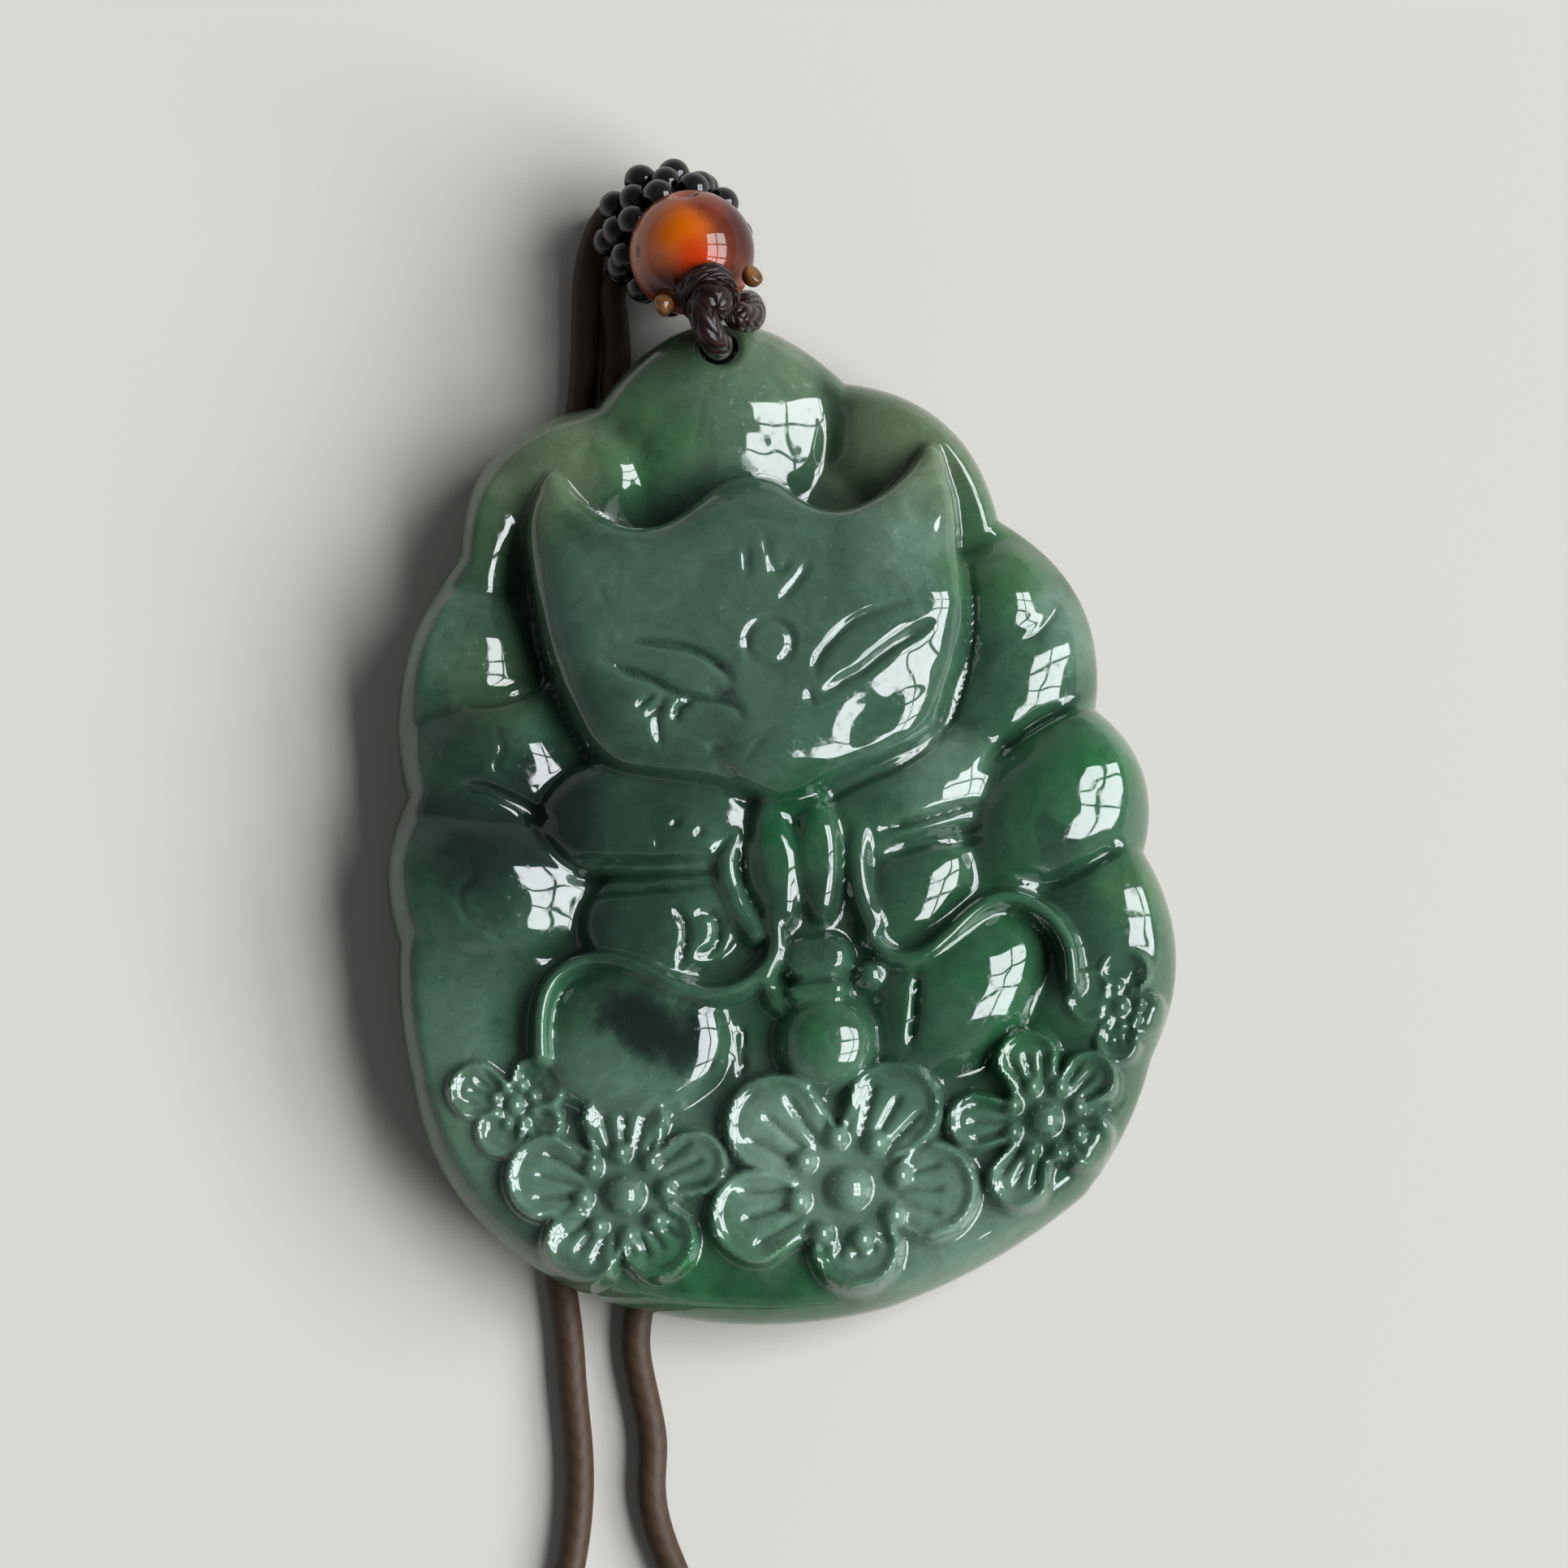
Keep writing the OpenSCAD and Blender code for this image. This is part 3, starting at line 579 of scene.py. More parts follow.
def carveSheet():
    # height of the carving above the plate's flat back
    height = carveFace(carveBody(carveTails()))
    for blossom in blossoms:
        spot = around([blossom[0]], flowerLook["reach"])
        height[spot] = addBlossom(height[spot], sheetX[spot], sheetY[spot], blossom)
    height = engrave(height)
    drawn = np.random.default_rng(5)
    for width, rise in unevenness:
        uneven = soften(drawn.standard_normal(sheetX.shape), width)
        height = height + rise * uneven / uneven.std()
    bored = np.hypot(sheetX - jade["holeAt"][0], sheetY - jade["holeAt"][1])
    height = height - jade["holeDish"] * np.clip((jade["holeDishRadius"] - bored) / 0.5, 0, 1) ** 2
    return soften(height, blend["polished"])


def readSheet(values, x, y):
    # a sheet's value at each place, mixed from its four nearest cells
    a, b = (x - sheet["left"]) / sheet["step"], (y - sheet["low"]) / sheet["step"]
    i = np.clip(a.astype(int), 0, values.shape[1] - 2)
    j = np.clip(b.astype(int), 0, values.shape[0] - 2)
    a, b = np.clip(a - i, 0, 1), np.clip(b - j, 0, 1)
    return (values[j, i] * (1 - a) + values[j, i + 1] * a) * (1 - b) \
        + (values[j + 1, i] * (1 - a) + values[j + 1, i + 1] * a) * b


def addJade():
    bpy.ops.mesh.primitive_grid_add(x_subdivisions=jade["cellsX"], y_subdivisions=jade["cellsY"], size=2)
    plate = bpy.context.object
    plate.name = "carved_jade"
    # the wall and the back come from the sheet's border, pulled down ring by ring
    drop = 0.1
    bpy.ops.object.mode_set(mode="EDIT")
    bpy.ops.mesh.select_all(action="DESELECT")
    bpy.ops.mesh.select_mode(type="EDGE")
    bpy.ops.mesh.select_non_manifold()
    for ring in jade["wall"]:
        bpy.ops.mesh.extrude_edges_move(TRANSFORM_OT_translate={"value": (0, 0, -drop)})
    bpy.ops.mesh.edge_face_add()
    bpy.ops.object.mode_set(mode="OBJECT")
    mesh = plate.data
    co = np.empty(len(mesh.vertices) * 3)
    mesh.vertices.foreach_get("co", co)
    co = co.reshape(-1, 3)
    gx, gy, level = co[:, 0], co[:, 1], np.rint(-co[:, 2] / drop).astype(int)
    # the square sheet is drawn round, then out to the outline
    u = gx * np.sqrt(1 - gy ** 2 / 2)
    v = gy * np.sqrt(1 - gx ** 2 / 2)
    share = np.minimum(np.hypot(u, v), 1)
    angle = np.arctan2(v, u)
    reach = outlineRadius(angle)
    band = jade["rimBand"]
    inward = (1 - share) * reach
    closer = 2 * inward ** 2 / band - inward ** 3 / band ** 2
    inward = np.where(inward < band, closer, inward)
    distance = reach - inward
    x, y = distance * np.cos(angle), distance * np.sin(angle)
    edge = np.minimum(inward / jade["rimWidth"], 1)
    carving = carveSheet()
    carved = readSheet(carving, x, y)
    z = jade["rimHeight"] + (carved - jade["rimHeight"]) * np.sqrt(1 - (1 - edge) ** 2)
    # how near the rim and how deep in a hollow each point is, for the stone's colour: painted light where the
    # edge is thin, and painted shade in the hollows
    rim = np.clip(1 - inward / jade["rimShade"], 0, 1) ** 1.5
    hollowShade = readSheet(soften(carving, jade["hollowWidth"]), x, y) - carved
    hollowShade = np.clip(hollowShade / jade["hollowDepth"], 0, 1) * (level == 0)
    for name, values in (("rim", rim), ("hollowShade", hollowShade)):
        layer = mesh.attributes.new(name, "FLOAT", "POINT")
        layer.data.foreach_set("value", values.astype(np.float32))
    for ring, (scale, low) in enumerate(jade["wall"], 1):
        here = level == ring
        x[here] *= scale
        y[here] *= scale
        z[here] = low
    co = np.stack([x, y, z + jade["back"]], 1) * mm
    mesh.vertices.foreach_set("co", co.ravel())
    mesh.update()
    return plate


def drillHole(plate):
    x, y = jade["holeAt"]
    deselectAll()
    bpy.ops.mesh.primitive_cylinder_add(vertices=64, radius=jade["holeRadius"] * mm, depth=20 * mm,
                                        location=(x * mm, y * mm, 4 * mm))
    drill = bpy.context.object
    cut = plate.modifiers.new("hole", "BOOLEAN")
    cut.operation = "DIFFERENCE"
    cut.object = drill
    cut.solver = "MANIFOLD"
    selectOnly(plate)
    bpy.ops.object.modifier_apply(modifier=cut.name)
    bpy.data.objects.remove(drill)


deselectAll()
plate = addJade()
drillHole(plate)
turnFacesOut()
bpy.ops.object.shade_smooth_by_angle(angle=math.radians(50))
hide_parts("jade_pendant")
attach(plate, "root")
print("plate carved:", len(plate.data.polygons), "faces")

# agate bead, drilled and with a small dimple where the stone was chipped
agate = {"bore": 0.85, "boreLip": 0.35, "boreSink": 0.8,
         "dimpleAt": (-0.02, 0.86, 0.5), "dimpleRadius": 0.85, "dimpleDepth": 0.3}


def placeMesh(piece, at, direction):
    # moves the mesh itself, so that the object stays at the origin
    turn = Vector(direction).to_track_quat("Z", "Y").to_matrix().to_4x4()
    piece.data.transform(Matrix.Translation(Vector(at) * mm) @ turn)


def addAgate():
    deselectAll()
    bpy.ops.mesh.primitive_uv_sphere_add(segments=96, ring_count=64, radius=agateRadius * mm)
    bead = bpy.context.object
    bead.name = "agate"
    for vert in bead.data.vertices:
        aside = math.hypot(vert.co.x, vert.co.y) / mm
        if aside < agate["bore"]:  # the bore's mouth
            sink = min(1, max(0, (agate["bore"] - aside) / agate["boreLip"]))
            vert.co.z -= math.copysign(sink * agate["boreSink"] * mm, vert.co.z)
    placeMesh(bead, agateAt, knotAxis)
    centre = Vector(agateAt)
    dimple = Vector(agate["dimpleAt"]).normalized()
    for vert in bead.data.vertices:
        out = vert.co / mm - centre
        away = (out - dimple * agateRadius).length / agate["dimpleRadius"]
        if away < 1:
            vert.co -= dimple * agate["dimpleDepth"] * (1 - away ** 2) ** 2 * mm
    bpy.ops.object.shade_smooth()
    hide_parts("agate_bead")
    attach(bead, "root")
    return bead


agateBead = addAgate()

# small black beads of the woven ring: three rows of ten, each row set half a bead on
seeds = {"count": 10, "rowRadius": 2.72, "rowStep": 1.42, "diameter": 1.72, "shift": (0.12, -0.1, 0.0),
         "squash": 0.93, "hole": 0.34, "holeLip": 0.14, "holeDepth": 0.3, "lean": 0.25, "stray": 0.03,
         "smallest": 0.96}


def addSeedBeads():
    deselectAll()
    r = seeds["diameter"] / 2
    bpy.ops.mesh.primitive_uv_sphere_add(segments=24, ring_count=18, radius=r * mm)
    first = bpy.context.object
    for vert in first.data.vertices:
        aside = math.hypot(vert.co.x, vert.co.y) / mm
        vert.co.z *= seeds["squash"]
        if aside < seeds["hole"]:  # the thread's hole
            sink = min(1, (seeds["hole"] - aside) / seeds["holeLip"])
            vert.co.z -= math.copysign(sink * seeds["holeDepth"] * mm, vert.co.z)
    across = unit(np.cross(ringAxis, [0.31, 0.2, 0.1]))
    side = np.cross(ringAxis, across)
    drawn = random.Random(11)
    for row in (-1, 0, 1):
        for i in range(seeds["count"]):
            turn = 2 * math.pi * (i + 0.5 * (row % 2)) / seeds["count"]
            out = math.cos(turn) * across + math.sin(turn) * side
            way = unit(np.cross(ringAxis, out) + seeds["lean"] * ringAxis * (1 if row % 2 else -1))
            at = ringAt + np.array(seeds["shift"]) + row * seeds["rowStep"] * ringAxis \
                + seeds["rowRadius"] * out
            copy = first.copy()
            copy.data = first.data.copy()
            scene.collection.objects.link(copy)
            copy.data.transform(Matrix.Scale(drawn.uniform(seeds["smallest"], 1.0), 4))
            stray = [drawn.uniform(-seeds["stray"], seeds["stray"]) for axis in "xyz"]
            placeMesh(copy, at + np.array(stray), way)
            copy.select_set(True)
    first.select_set(False)
    bpy.data.objects.remove(first)
    bpy.context.view_layer.objects.active = bpy.context.selected_objects[0]
    bpy.ops.object.join()
    ring = bpy.context.object
    ring.name = "seed_beads"
    bpy.ops.object.shade_smooth()
    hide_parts("bail_ring")
    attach(ring, "root")
    return ring


seedBeads = addSeedBeads()

# knot of four turns of thin thread round the cord, over a core
knot = {"turns": 4, "thread": 0.24, "coil": 1.18, "wobble": 0.03, "core": 1.1, "coreReach": 0.62}


def joinAs(name, first, *others):
    selectOnly(first, *others)
    bpy.ops.object.join()
    first.name = name


def addKnot():
    steps = 28 * knot["turns"]
    t = np.arange(steps + 1) / steps
    turn = 2 * np.pi * knot["turns"] * t
    lift = (t - 0.5) * (knotLength - 2 * knot["thread"])
    wobble = knot["coil"] * (1 + knot["wobble"] * np.sin(2.3 * turn))
    route = knotAt + lift[:, None] * knotAxis + (wobble * np.cos(turn))[:, None] * knotX \
        + (wobble * np.sin(turn))[:, None] * knotY
    coil = addTube("knot_coil", route, knot["thread"], 12)
    reach = np.linspace(-knot["coreReach"], knot["coreReach"], 6)
    core = addTube("knot_core", knotAt + reach[:, None] * knotAxis, knot["core"], 24)
    joinAs("binding_knot", coil, core)
    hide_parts("wrap_knot")
    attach(coil, "root")
    return coil


bindingKnot = addKnot()

# melted ends: the drop's radius, and how far it reaches above and below its middle, in radii
melt = {"radius": 0.55, "above": 0.62, "below": 0.95}


def addMeltedEnd(name, node, at, direction, seed):
    # a short stub whose tip is a lumpy melted drop
    deselectAll()
    bpy.ops.mesh.primitive_uv_sphere_add(segments=32, ring_count=20, radius=melt["radius"] * mm)
    tip = bpy.context.object
    tip.name = name
    drawn = random.Random(seed)
    waves = [(drawn.uniform(2, 5), drawn.uniform(0, 6), drawn.uniform(0.02, 0.05)) for _ in range(4)]
    for vert in tip.data.vertices:
        v = vert.co / mm
        swell = 1 + sum(size * math.sin(rate * (v.x * (k % 2) + v.y + v.z * 0.7) * 2 + phase)
                        for k, (rate, phase, size) in enumerate(waves))
        reach = melt["above"] if v.z > 0 else melt["below"]
        vert.co = Vector((v.x * swell, v.y * swell, (v.z * reach + melt["radius"]) * swell)) * mm
    placeMesh(tip, at, direction)
    bpy.ops.object.shade_smooth()
    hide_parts(node)
    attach(tip, "root")
    return tip


leftEnd = addMeltedEnd("melted_end_left", "cord_end_left", knotAt - 1.7 * knotX + 0.3 * knotAxis,
                       unit([-0.9, 0.05, -0.2]), 3)
rightEnd = addMeltedEnd("melted_end_right", "cord_end_right", knotAt + 1.8 * knotX - 0.35 * knotAxis,
                        unit([0.6, 0.35, 0.1]), 4)


# plain wound barrel that closes the necklace, thicker in the middle
barrel = {"at": (-8.0, -208, 1.9), "turns": 8, "length": 5.1, "radius": 1.05, "swell": 0.15,
          "thread": 0.36, "core": 0.9, "coreReach": 2.4}


def addClosure():
    t = np.linspace(0, 1, 280)
    turn = 2 * np.pi * barrel["turns"] * t
    centre = np.array(barrel["at"])
    swell = barrel["radius"] + barrel["swell"] * np.sin(np.pi * t)
    route = centre + np.stack([(t - 0.5) * barrel["length"], swell * np.cos(turn), swell * np.sin(turn)], 1)
    coil = addTube("closure_coil", route, barrel["thread"], 10)
    reach = np.linspace(-barrel["coreReach"], barrel["coreReach"], 8)
    core = addTube("closure_core", centre + reach[:, None] * np.array([1, 0, 0]), barrel["core"], 16)
    joinAs("closure", coil, core)
    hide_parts("closure_knot")
    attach(coil, "root")
    return coil


closure = addClosure()
print("beads, knot and ends made")


def feed(tree, node, values):
    # a value is a setting of the node, or goes to an input by name or number, linked if it is a socket
    for key, value in values.items():
        if isinstance(key, str) and hasattr(node, key):
            setattr(node, key, value)
        elif isinstance(value, bpy.types.NodeSocket):
            tree.links.new(value, node.inputs[key])
        else:
            node.inputs[key].default_value = value
    return node


def addNode(tree, kind, values):
    return feed(tree, tree.nodes.new("ShaderNode" + kind), values)


def newMaterial(name, finish):
    # finish: the shader's own values, the same all over the surface
    material = bpy.data.materials.new(name)
    material.use_nodes = True
    tree = material.node_tree
    return material, tree, feed(tree, tree.nodes["Principled BSDF"], finish)


def maths(tree, operation, *values, kind="Math"):
    return addNode(tree, kind, {"operation": operation, **dict(enumerate(values))}).outputs[0]


def objectPlace(tree):
    return tree.nodes.new("ShaderNodeTexCoord").outputs["Object"]


def addNoise(tree, place, scale, detail, roughness=0.5):
    return addNode(tree, "TexNoise", {"Vector": place, "Scale": scale, "Detail": detail,
                                      "Roughness": roughness})


def mapRange(tree, value, given, wanted=(0.0, 1.0), curve="LINEAR"):
    return addNode(tree, "MapRange", {
        "interpolation_type": curve, "Value": value, "From Min": given[0], "From Max": given[1],
        "To Min": wanted[0], "To Max": wanted[1]}).outputs[0]


def mixColours(tree, share, under, over):
    return addNode(tree, "MixRGB", {"Fac": share, "Color1": under, "Color2": over}).outputs[0]


def addRamp(tree, value, stops):
    # two stops, each a position and a colour
    ramp = addNode(tree, "ValToRGB", {"Fac": value})
    for element, (position, colour) in zip(ramp.color_ramp.elements, stops):
        element.position = position
        element.color = colour
    return ramp.outputs[0]


def newGroup(name, inputs, output, kind):
    group = bpy.data.node_groups.new(name, "ShaderNodeTree")
    for socket, socketKind in inputs.items():
        group.interface.new_socket(socket, in_out="INPUT", socket_type="NodeSocket" + socketKind)
    group.interface.new_socket(output, in_out="OUTPUT", socket_type="NodeSocket" + kind)
    given, result = group.nodes.new("NodeGroupInput"), group.nodes.new("NodeGroupOutput")
    return group, given.outputs, result.inputs[output]


def makeBraidGroup():
    # strands crossing on a cord: u goes round it, v is millimetres along it
    group, given, height = newGroup("braidWeave", {"Strands": "Float", "Pitch": "Float"}, "Height", "Float")
    uv = addNode(group, "UVMap", {"uv_map": "UVMap"})
    split = addNode(group, "SeparateXYZ", {"Vector": uv.outputs[0]})
    roundCord = maths(group, "MULTIPLY", split.outputs[0], given["Strands"])
    downCord = maths(group, "DIVIDE", split.outputs[1], given["Pitch"])

    def wave(value):
        return maths(group, "SINE", maths(group, "MULTIPLY", value, math.pi))

    rightLay, leftLay = [maths(group, "ABSOLUTE", wave(maths(group, way, roundCord, downCord)))
                         for way in ("ADD", "SUBTRACT")]
    over = maths(group, "GREATER_THAN", wave(roundCord), 0.0)
    under = maths(group, "SUBTRACT", 1.0, over)
    mixed = maths(group, "ADD", maths(group, "MULTIPLY", rightLay, over),
                  maths(group, "MULTIPLY", leftLay, under))
    group.links.new(mixed, height)
    return group


braidWeave = makeBraidGroup()
# colours: light on the strands' crests and dark, a painted shade, where they dip, mixed with random fibre
# tone; strands round the cord, millimetres from crossing to crossing, and depth of the weave in mm
braidedLook = {"dark": (0.006, 0.002, 0.002, 1), "light": (0.026, 0.008, 0.008, 1), "roughness": 0.26,
               "strands": 6.0, "pitch": 0.8, "depth": 0.08}
waxedLook = {"dark": (0.04, 0.022, 0.011, 1), "light": (0.062, 0.035, 0.019, 1), "roughness": 0.55,
             "strands": 4.0, "pitch": 1.1, "depth": 0.012}


def cordMaterial(name, look):
    material, tree, shader = newMaterial(name, {"Roughness": look["roughness"], "Specular IOR Level": 0.3})
    weave = addNode(tree, "Group", {"node_tree": braidWeave, "Strands": look["strands"],
                                    "Pitch": look["pitch"]}).outputs["Height"]
    fuzz = addNoise(tree, objectPlace(tree), 2600.0, 4.0).outputs["Fac"]
    # painted shade: the colour darkens where the weave dips between strands and lightens on their crests,
    # broken up by fibre noise
    colour = mixColours(tree, maths(tree, "MULTIPLY", weave, fuzz), look["dark"], look["light"])
    tree.links.new(colour, shader.inputs["Base Color"])
    raised = maths(tree, "MULTIPLY_ADD", fuzz, 0.25, weave)
    bump = addNode(tree, "Bump", {"Strength": 0.9, "Distance": look["depth"] * mm, "Height": raised})
    tree.links.new(bump.outputs[0], shader.inputs["Normal"])
    return material


# the stone's colours, among them a deep tone of painted shade for its hollows and a pale tone of painted
# light for its thin edge; how strong its hollows, edge and mottling are, and how far its patches drift, in mm
jadeLook = {
    "cloudDark": (0.022, 0.066, 0.038, 1), "cloudPale": (0.044, 0.104, 0.062, 1),
    "pale": (0.105, 0.18, 0.135, 1), "grey": (0.056, 0.105, 0.077, 1), "green": (0.014, 0.105, 0.032, 1),
    "olive": (0.048, 0.088, 0.036, 1), "dark": (0.006, 0.014, 0.011, 1), "rim": (0.1, 0.145, 0.075, 1),
    "deep": (0.012, 0.036, 0.019, 1), "bottle": (0.010, 0.031, 0.018, 1), "warm": (0.13, 0.172, 0.098, 1),
    "mist": (0.17, 0.26, 0.20, 1), "fir": (0.005, 0.05, 0.02, 1),
    "hollowShadeMost": 0.35, "rimMost": 0.5, "mottle": (0.78, 1.24), "polish": (0.05, 0.32), "drift": 7.0,
    "patchHeight": 4.5,
}
jadeFinish = {"IOR": 1.66, "Subsurface Weight": 0.6, "Subsurface Radius": (0.6, 1.0, 0.75),
              "Subsurface Scale": 0.0012}
# patches of one tone, laid one over the other in this order: pixel x, y, radius in mm, strength
patches = [
    ("grey", [(900, 760, 8.5, 0.8)]),
    ("olive", [(760, 450, 6.5, 0.5), (1130, 520, 6, 0.7), (600, 620, 5, 0.6)]),
    ("pale", [(960, 430, 5, 0.25), (540, 780, 3.5, 0.35), (700, 1440, 6.5, 0.7), (560, 1330, 4.5, 0.6),
              (980, 1420, 5, 0.5), (1150, 1420, 4, 0.4)]),
    ("grey", [(590, 1230, 4, 0.4)]),
    ("pale", [(860, 1450, 5, 0.45)]),
    ("green", [(790, 555, 2.6, 0.75), (650, 530, 1.8, 0.5), (1240, 700, 3.0, 0.8), (1380, 920, 2.4, 0.75),
               (1300, 960, 3.6, 0.5), (1400, 1090, 2.6, 0.6), (975, 1010, 1.9, 0.95), (990, 1290, 2.4, 0.6),
               (1200, 1160, 4.5, 0.45), (1250, 1300, 3, 0.5), (1060, 1390, 3, 0.4), (900, 1590, 5, 0.6),
               (660, 1260, 2.5, 0.4)]),
    ("dark", [(600, 1030, 3.6, 0.72), (690, 1000, 2.6, 0.8), (520, 1010, 2.0, 0.45), (560, 1070, 1.6, 0.6),
              (800, 1265, 1.8, 0.95), (850, 1290, 1.5, 0.7), (760, 1150, 3.4, 0.45), (600, 900, 2.5, 0.4),
              (1160, 1300, 2.2, 0.45), (930, 1580, 1.4, 0.6), (830, 1590, 1.2, 0.5), (1020, 1130, 2.5, 0.4),
              (1290, 1040, 1.0, 0.5), (730, 880, 1.8, 0.35)]),
    ("bottle", [(800, 1020, 3.6, 0.7), (570, 930, 3.0, 0.6), (610, 800, 2.6, 0.45), (750, 1160, 3.5, 0.5),
                (1140, 1130, 3.0, 0.4), (560, 1090, 2.8, 0.5)]),
    ("warm", [(1115, 505, 3.6, 0.55), (640, 545, 3.8, 0.6), (950, 425, 3.2, 0.5), (1130, 610, 2.4, 0.35)]),
    ("mist", [(1200, 1520, 4.0, 0.4), (985, 1420, 3.4, 0.3), (1325, 760, 2.0, 0.45), (1405, 880, 2.0, 0.4),
              (1120, 705, 2.4, 0.4), (1290, 1350, 2.4, 0.25), (1150, 960, 2.2, 0.2)]),
    ("green", [(900, 1610, 4.5, 0.4), (1000, 1250, 3.0, 0.2), (1190, 1260, 3.2, 0.35),
               (1000, 1030, 2.4, 0.25)]),
    ("bottle", [(985, 1105, 2.4, 0.5), (770, 1420, 2.6, 0.25)]),
    ("olive", [(560, 1380, 3.0, 0.35)]),
    ("dark", [(640, 1045, 3.2, 0.6), (690, 1000, 2.2, 0.65), (590, 1005, 2.6, 0.45), (805, 1262, 2.1, 0.9),
              (850, 1285, 1.5, 0.6)]),
    ("warm", [(1060, 590, 2.2, 0.7), (1240, 700, 2.8, 0.22), (1400, 1090, 2.2, 0.22)]),
    ("grey", [(695, 760, 3.0, 0.55), (1180, 1265, 1.8, 0.4)]),
    ("fir", [(978, 1003, 1.9, 0.7)]),
    ("pale", [(1120, 640, 2.6, 0.45), (1060, 1420, 4.5, 0.4)]),
    ("mist", [(1100, 1560, 3.0, 0.35), (1150, 955, 2.6, 0.25), (1040, 1440, 3.5, 0.25)]),
    ("warm", [(860, 480, 5.0, 0.16), (720, 530, 3.6, 0.25), (1170, 580, 3.0, 0.3)]),
    ("olive", [(600, 840, 2.6, 0.4)]),
    ("mist", [(960, 1400, 3.2, 0.35), (950, 1500, 2.8, 0.3), (1210, 1520, 3.0, 0.2)]),
    ("fir", [(1200, 1230, 3.0, 0.25)]),
]


def makePatchGroup():
    # a soft patch of one colour laid over another, round a centre
    group, given, result = newGroup("softPatch", {
        "Under": "Color", "Tone": "Color", "Place": "Vector", "Centre": "Vector", "Outer": "Float",
        "Inner": "Float", "Strength": "Float"}, "Colour", "Color")
    away = addNode(group, "VectorMath", {"operation": "DISTANCE", 0: given["Place"], 1: given["Centre"]})
    share = mapRange(group, away.outputs["Value"], (given["Outer"], given["Inner"]),
                     (0.0, given["Strength"]), "SMOOTHSTEP")
    group.links.new(mixColours(group, share, given["Under"], given["Tone"]), result)
    return group


softPatch = makePatchGroup()
# a patch is full up to the first share of its radius, and gone beyond the other
patchFade = {"full": 0.3, "none": 1.35}


def addPatch(tree, under, place, centre, radius, tone, strength):
    # centre and radius in mm
    outer, inner = [radius * share * mm for share in (patchFade["none"], patchFade["full"])]
    return addNode(tree, "Group", {
        "node_tree": softPatch, "Under": under, "Tone": tone, "Place": place, "Outer": outer, "Inner": inner,
        "Centre": tuple(np.array(centre) * mm), "Strength": strength}).outputs["Colour"]


def jadeMaterial():
    material, tree, shader = newMaterial("jadeStone", jadeFinish)
    place = objectPlace(tree)
    drift = jadeLook["drift"]
    drifting = addNoise(tree, place, 230.0, 5.0, 0.6).outputs["Color"]
    warped = maths(tree, "MULTIPLY_ADD", drifting, (drift * mm, drift * mm, 0.0), place, kind="VectorMath")
    cloud = addNoise(tree, place, 420.0, 8.0, 0.68).outputs["Fac"]
    colour = addRamp(tree, cloud, [(0.3, jadeLook["cloudDark"]), (0.72, jadeLook["cloudPale"])])
    # patches go by x and y alone, moved by the middle of the drift
    plan = maths(tree, "MULTIPLY", warped, (1, 1, 0), kind="VectorMath")
    for tone, places in patches:
        for px, py, radius, strength in places:
            x, y = onPlate(px, py, jadeLook["patchHeight"]) + drift / 2
            colour = addPatch(tree, colour, plan, (x, y, 0), radius, jadeLook[tone], strength)
    # fine mottling through all of it
    mottle = addNoise(tree, warped, 900.0, 7.0, 0.7).outputs["Fac"]
    uneven = mapRange(tree, mottle, (0.3, 0.7), jadeLook["mottle"])
    colour = addNode(tree, "VectorMath", {"operation": "SCALE", 0: colour, "Scale": uneven}).outputs[0]
    # painted shade: a deeper tone in the hollows; painted light: paler where the edge is thin, as if light
    # came through it
    for name, tone, most in (("hollowShade", "deep", "hollowShadeMost"), ("rim", "rim", "rimMost")):
        spot = addNode(tree, "Attribute", {"attribute_name": name}).outputs["Fac"]
        colour = mixColours(tree, maths(tree, "MULTIPLY", spot, jadeLook[most]), colour, jadeLook[tone])
    tree.links.new(colour, shader.inputs["Base Color"])
    # specks that the polish didn't reach
    grain = addNoise(tree, place, 2400.0, 5.0, 0.65).outputs["Fac"]
    tree.links.new(mapRange(tree, grain, (0.55, 0.72), jadeLook["polish"]), shader.inputs["Roughness"])
    return material


# spots from the bead's middle: amber in front, wine red at the right and below, dusky pink at the left
agateLook = {
    "base": (0.34, 0.085, 0.035, 1), "drift": 1.2,
    "spots": [
        ((2.7, 0.4, 1.0), 3.1, (0.035, 0.002, 0.001, 1), 1.0),
        ((-2.6, 0.0, 1.2), 1.9, (0.5, 0.15, 0.08, 1), 0.9),
        ((-1.3, -2.2, 1.4), 1.8, (0.07, 0.003, 0.001, 1), 0.95),
        ((0.4, -2.6, 1.2), 1.7, (0.08, 0.002, 0.001, 1), 0.95),
        ((-0.6, 0.5, 2.7), 1.55, (0.52, 0.1, 0.0, 1), 1.0),
        ((0.1, -1.0, 2.6), 1.1, (0.42, 0.024, 0.0, 1), 0.9),
        ((0.9, 1.6, 2.2), 0.9, (0.14, 0.016, 0.006, 1), 0.85),
        ((-1.5, 1.6, 2.2), 0.7, (0.4, 0.13, 0.05, 1), 0.6),
        ((-0.1, 2.7, 1.3), 0.35, (0.45, 0.015, 0.005, 1), 1.0),
        ((-2.6, 0.0, 1.4), 0.26, (0.05, 0.003, 0.002, 1), 1.0),
    ],
}
agateFinish = {"Roughness": 0.05, "IOR": 1.47, "Specular IOR Level": 0.4, "Subsurface Weight": 0.22,
               "Subsurface Radius": (1.0, 0.3, 0.1), "Subsurface Scale": 0.0006}


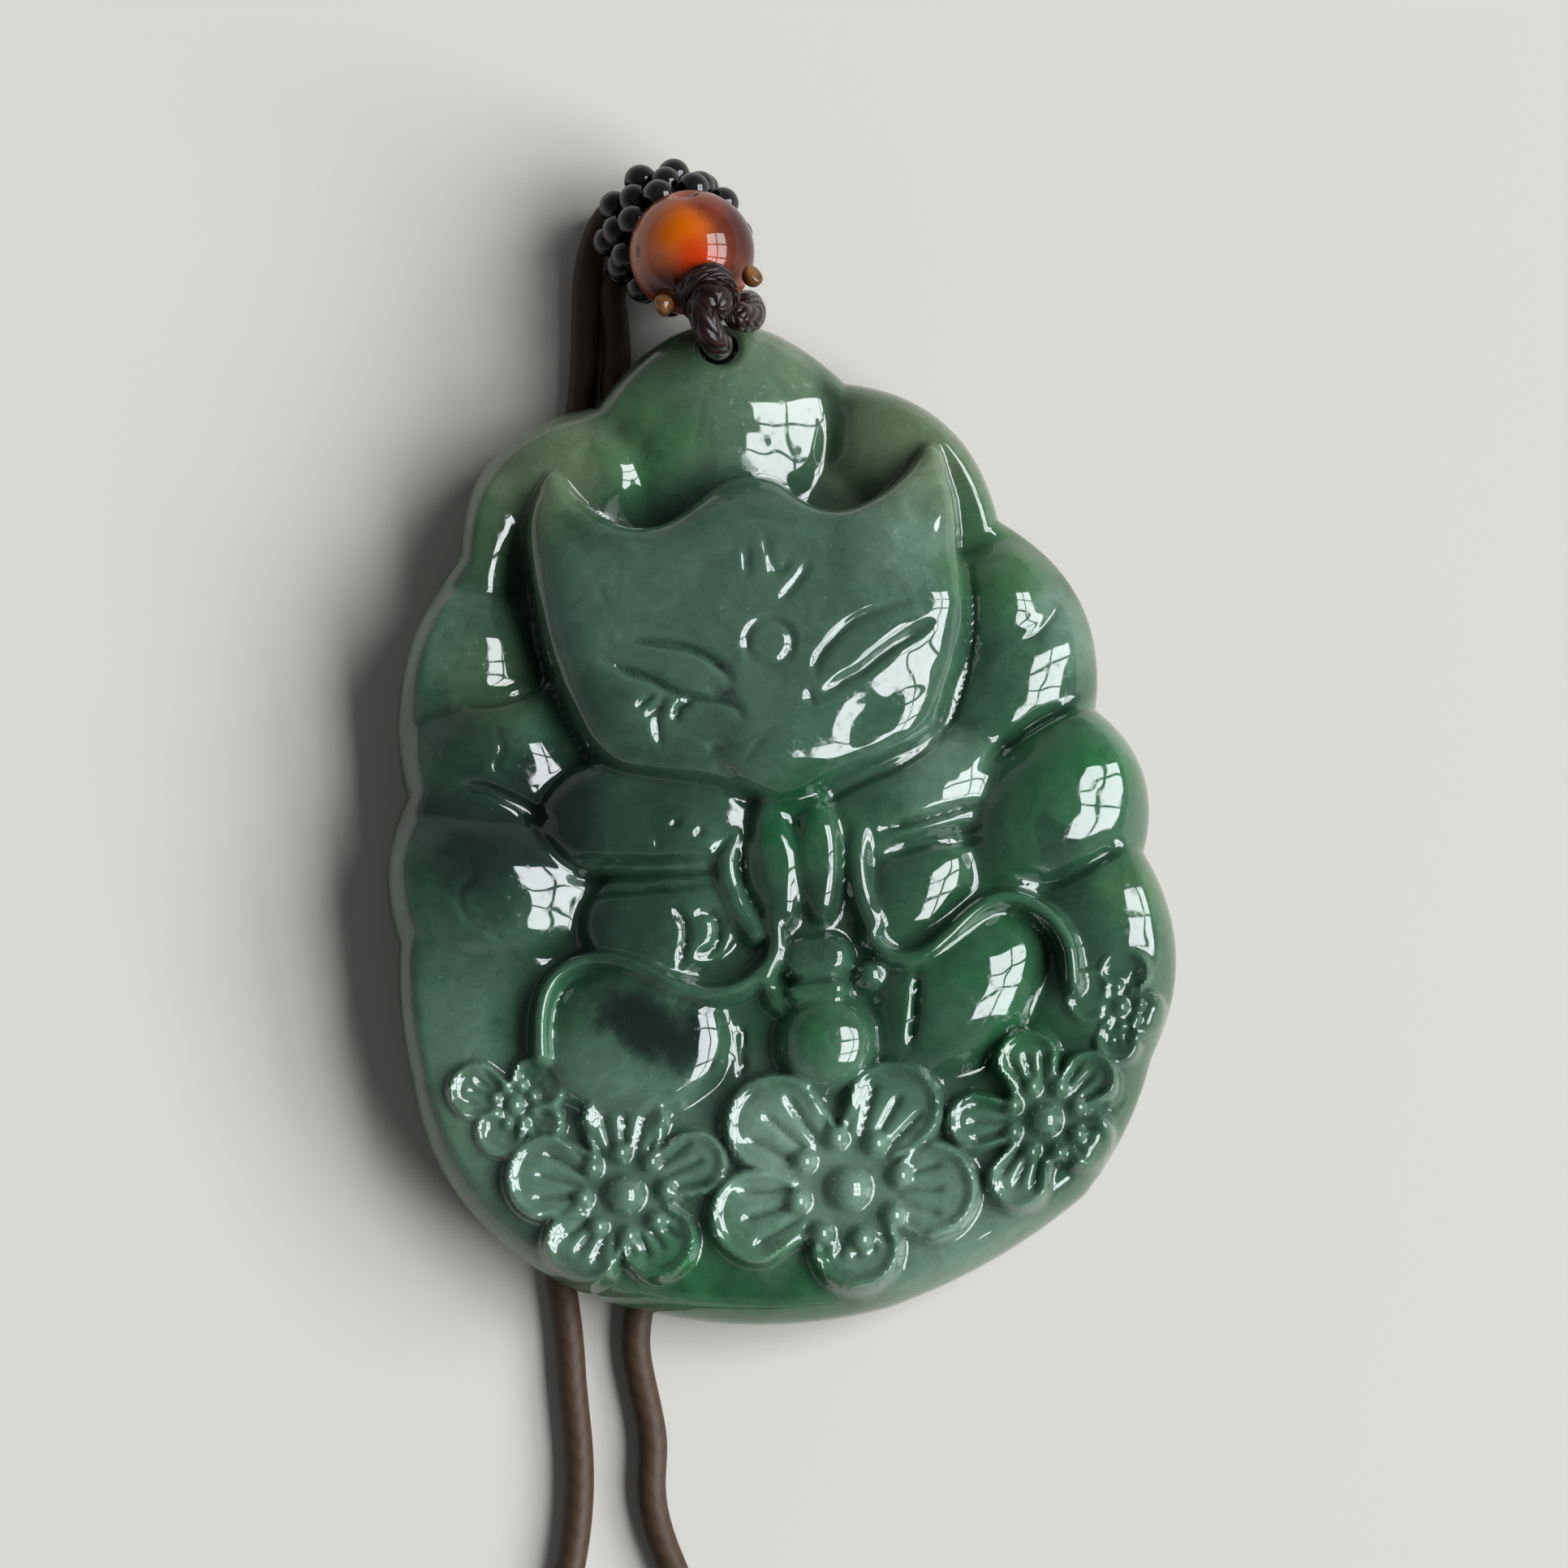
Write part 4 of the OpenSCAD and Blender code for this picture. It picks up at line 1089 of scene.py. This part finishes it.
def agateMaterial():
    material, tree, shader = newMaterial("agateStone", agateFinish)
    place = objectPlace(tree)
    drift = agateLook["drift"]
    drifting = addNoise(tree, place, 500.0, 4.0).outputs["Color"]
    warped = maths(tree, "MULTIPLY_ADD", drifting, (drift * mm,) * 3, place, kind="VectorMath")
    colour = tree.nodes.new("ShaderNodeRGB").outputs[0]
    colour.default_value = agateLook["base"]
    for at, radius, tint, strength in agateLook["spots"]:
        colour = addPatch(tree, colour, warped, agateAt + np.array(at) + drift / 2, radius, tint, strength)
    tree.links.new(colour, shader.inputs["Base Color"])
    return material


seedLook = {"dark": (0.004, 0.004, 0.005, 1), "light": (0.012, 0.011, 0.012, 1)}
seedFinish = {"Roughness": 0.12, "IOR": 1.52}
meltedLook = {"dark": (0.02, 0.007, 0.004, 1), "light": (0.19, 0.075, 0.016, 1)}
meltedFinish = {"Roughness": 0.2, "Subsurface Weight": 0.3, "Subsurface Scale": 0.0005}


def seedMaterial():
    material, tree, shader = newMaterial("blackBeadGlass", seedFinish)
    shade = addNoise(tree, objectPlace(tree), 700.0, 3.0).outputs["Fac"]
    tree.links.new(mixColours(tree, shade, seedLook["dark"], seedLook["light"]), shader.inputs["Base Color"])
    return material


def meltedMaterial():
    material, tree, shader = newMaterial("meltedCordEnd", meltedFinish)
    burn = addNoise(tree, objectPlace(tree), 1400.0, 4.0).outputs["Fac"]
    colour = addRamp(tree, burn, [(0.35, meltedLook["dark"]), (0.62, meltedLook["light"])])
    tree.links.new(colour, shader.inputs["Base Color"])
    return material


def dress(piece, material):
    piece.data.materials.clear()
    piece.data.materials.append(material)


braid = cordMaterial("braidedCord", braidedLook)
waxed = cordMaterial("waxedCord", waxedLook)
dress(plate, jadeMaterial())
dress(agateBead, agateMaterial())
dress(seedBeads, seedMaterial())
dress(loopCord, braid)
dress(innerThread, braid)
dress(bindingKnot, braid)
dress(necklaceCord, waxed)
dress(closure, waxed)
melted = meltedMaterial()
dress(leftEnd, melted)
dress(rightEnd, melted)
print("materials set")

# plain pale table, and a window of soft panes to the right
room = {
    "tableSize": 4, "floor": (0.56, 0.53, 0.487, 1), "floorShade": 0.985,
    "overhead": (0.09, 0.093, 0.1, 1), "low": (0.31, 0.315, 0.32, 1), "lowEnds": 0.3, "overheadStarts": 0.62,
    "centre": (0, 3, 5), "sideways": 0.75, "above": 0.66, "distance": 3000, "columns": 2, "rows": 3,
    "paneWidth": 950, "paneHeight": 1050, "gap": 130, "paneWatts": 36, "paneColour": (0.93, 0.97, 1.0),
}


def addTable():
    deselectAll()
    bpy.ops.mesh.primitive_plane_add(size=room["tableSize"], location=(0, 0, 0))
    table = bpy.context.object
    table.name = "table"
    material, tree, shader = newMaterial("paleTable", {"Roughness": 0.8})
    grain = addNoise(tree, objectPlace(tree), 40.0, 3.0).outputs["Fac"]
    shade = tuple(c * room["floorShade"] for c in room["floor"][:3]) + (1,)
    tree.links.new(mixColours(tree, grain, shade, room["floor"]), shader.inputs["Base Color"])
    dress(table, material)


def addWindow():
    out = unit(np.array(imageRight) * room["sideways"] + np.array(viewBack) * room["above"])
    across = unit(np.cross(np.array(imageUp), out))
    upward = np.cross(out, across)
    centre = np.array(room["centre"]) + out * room["distance"]
    for column in range(room["columns"]):
        for row in range(room["rows"]):
            a = (column - (room["columns"] - 1) / 2) * (room["paneWidth"] + room["gap"])
            b = (row - (room["rows"] - 1) / 2) * (room["paneHeight"] + room["gap"])
            place = centre + a * across + b * upward
            bpy.ops.object.light_add(type="AREA", location=tuple(place * mm))
            pane = bpy.context.object
            pane.name = "pane_%d_%d" % (column, row)
            pane.rotation_euler = Matrix((across, upward, out)).transposed().to_euler()
            pane.data.shape = "RECTANGLE"
            pane.data.size = room["paneWidth"] * mm
            pane.data.size_y = room["paneHeight"] * mm
            pane.data.energy = room["paneWatts"]
            pane.data.color = room["paneColour"]


def addRoomLight():
    # dim overhead and bright low down all round, so that shadows are filled and the stone stays deep
    world = bpy.data.worlds.new("room")
    scene.world = world
    world.use_nodes = True
    tree = world.node_tree
    way = tree.nodes.new("ShaderNodeTexCoord").outputs["Generated"]
    split = addNode(tree, "SeparateXYZ", {"Vector": way})
    fall = mapRange(tree, split.outputs[2], (room["lowEnds"], room["overheadStarts"]), curve="SMOOTHSTEP")
    tree.links.new(mixColours(tree, fall, room["low"], room["overhead"]), tree.nodes["Background"].inputs[0])


addTable()
addWindow()
addRoomLight()
scene.view_settings.view_transform = "Standard"
print("lights and table set")
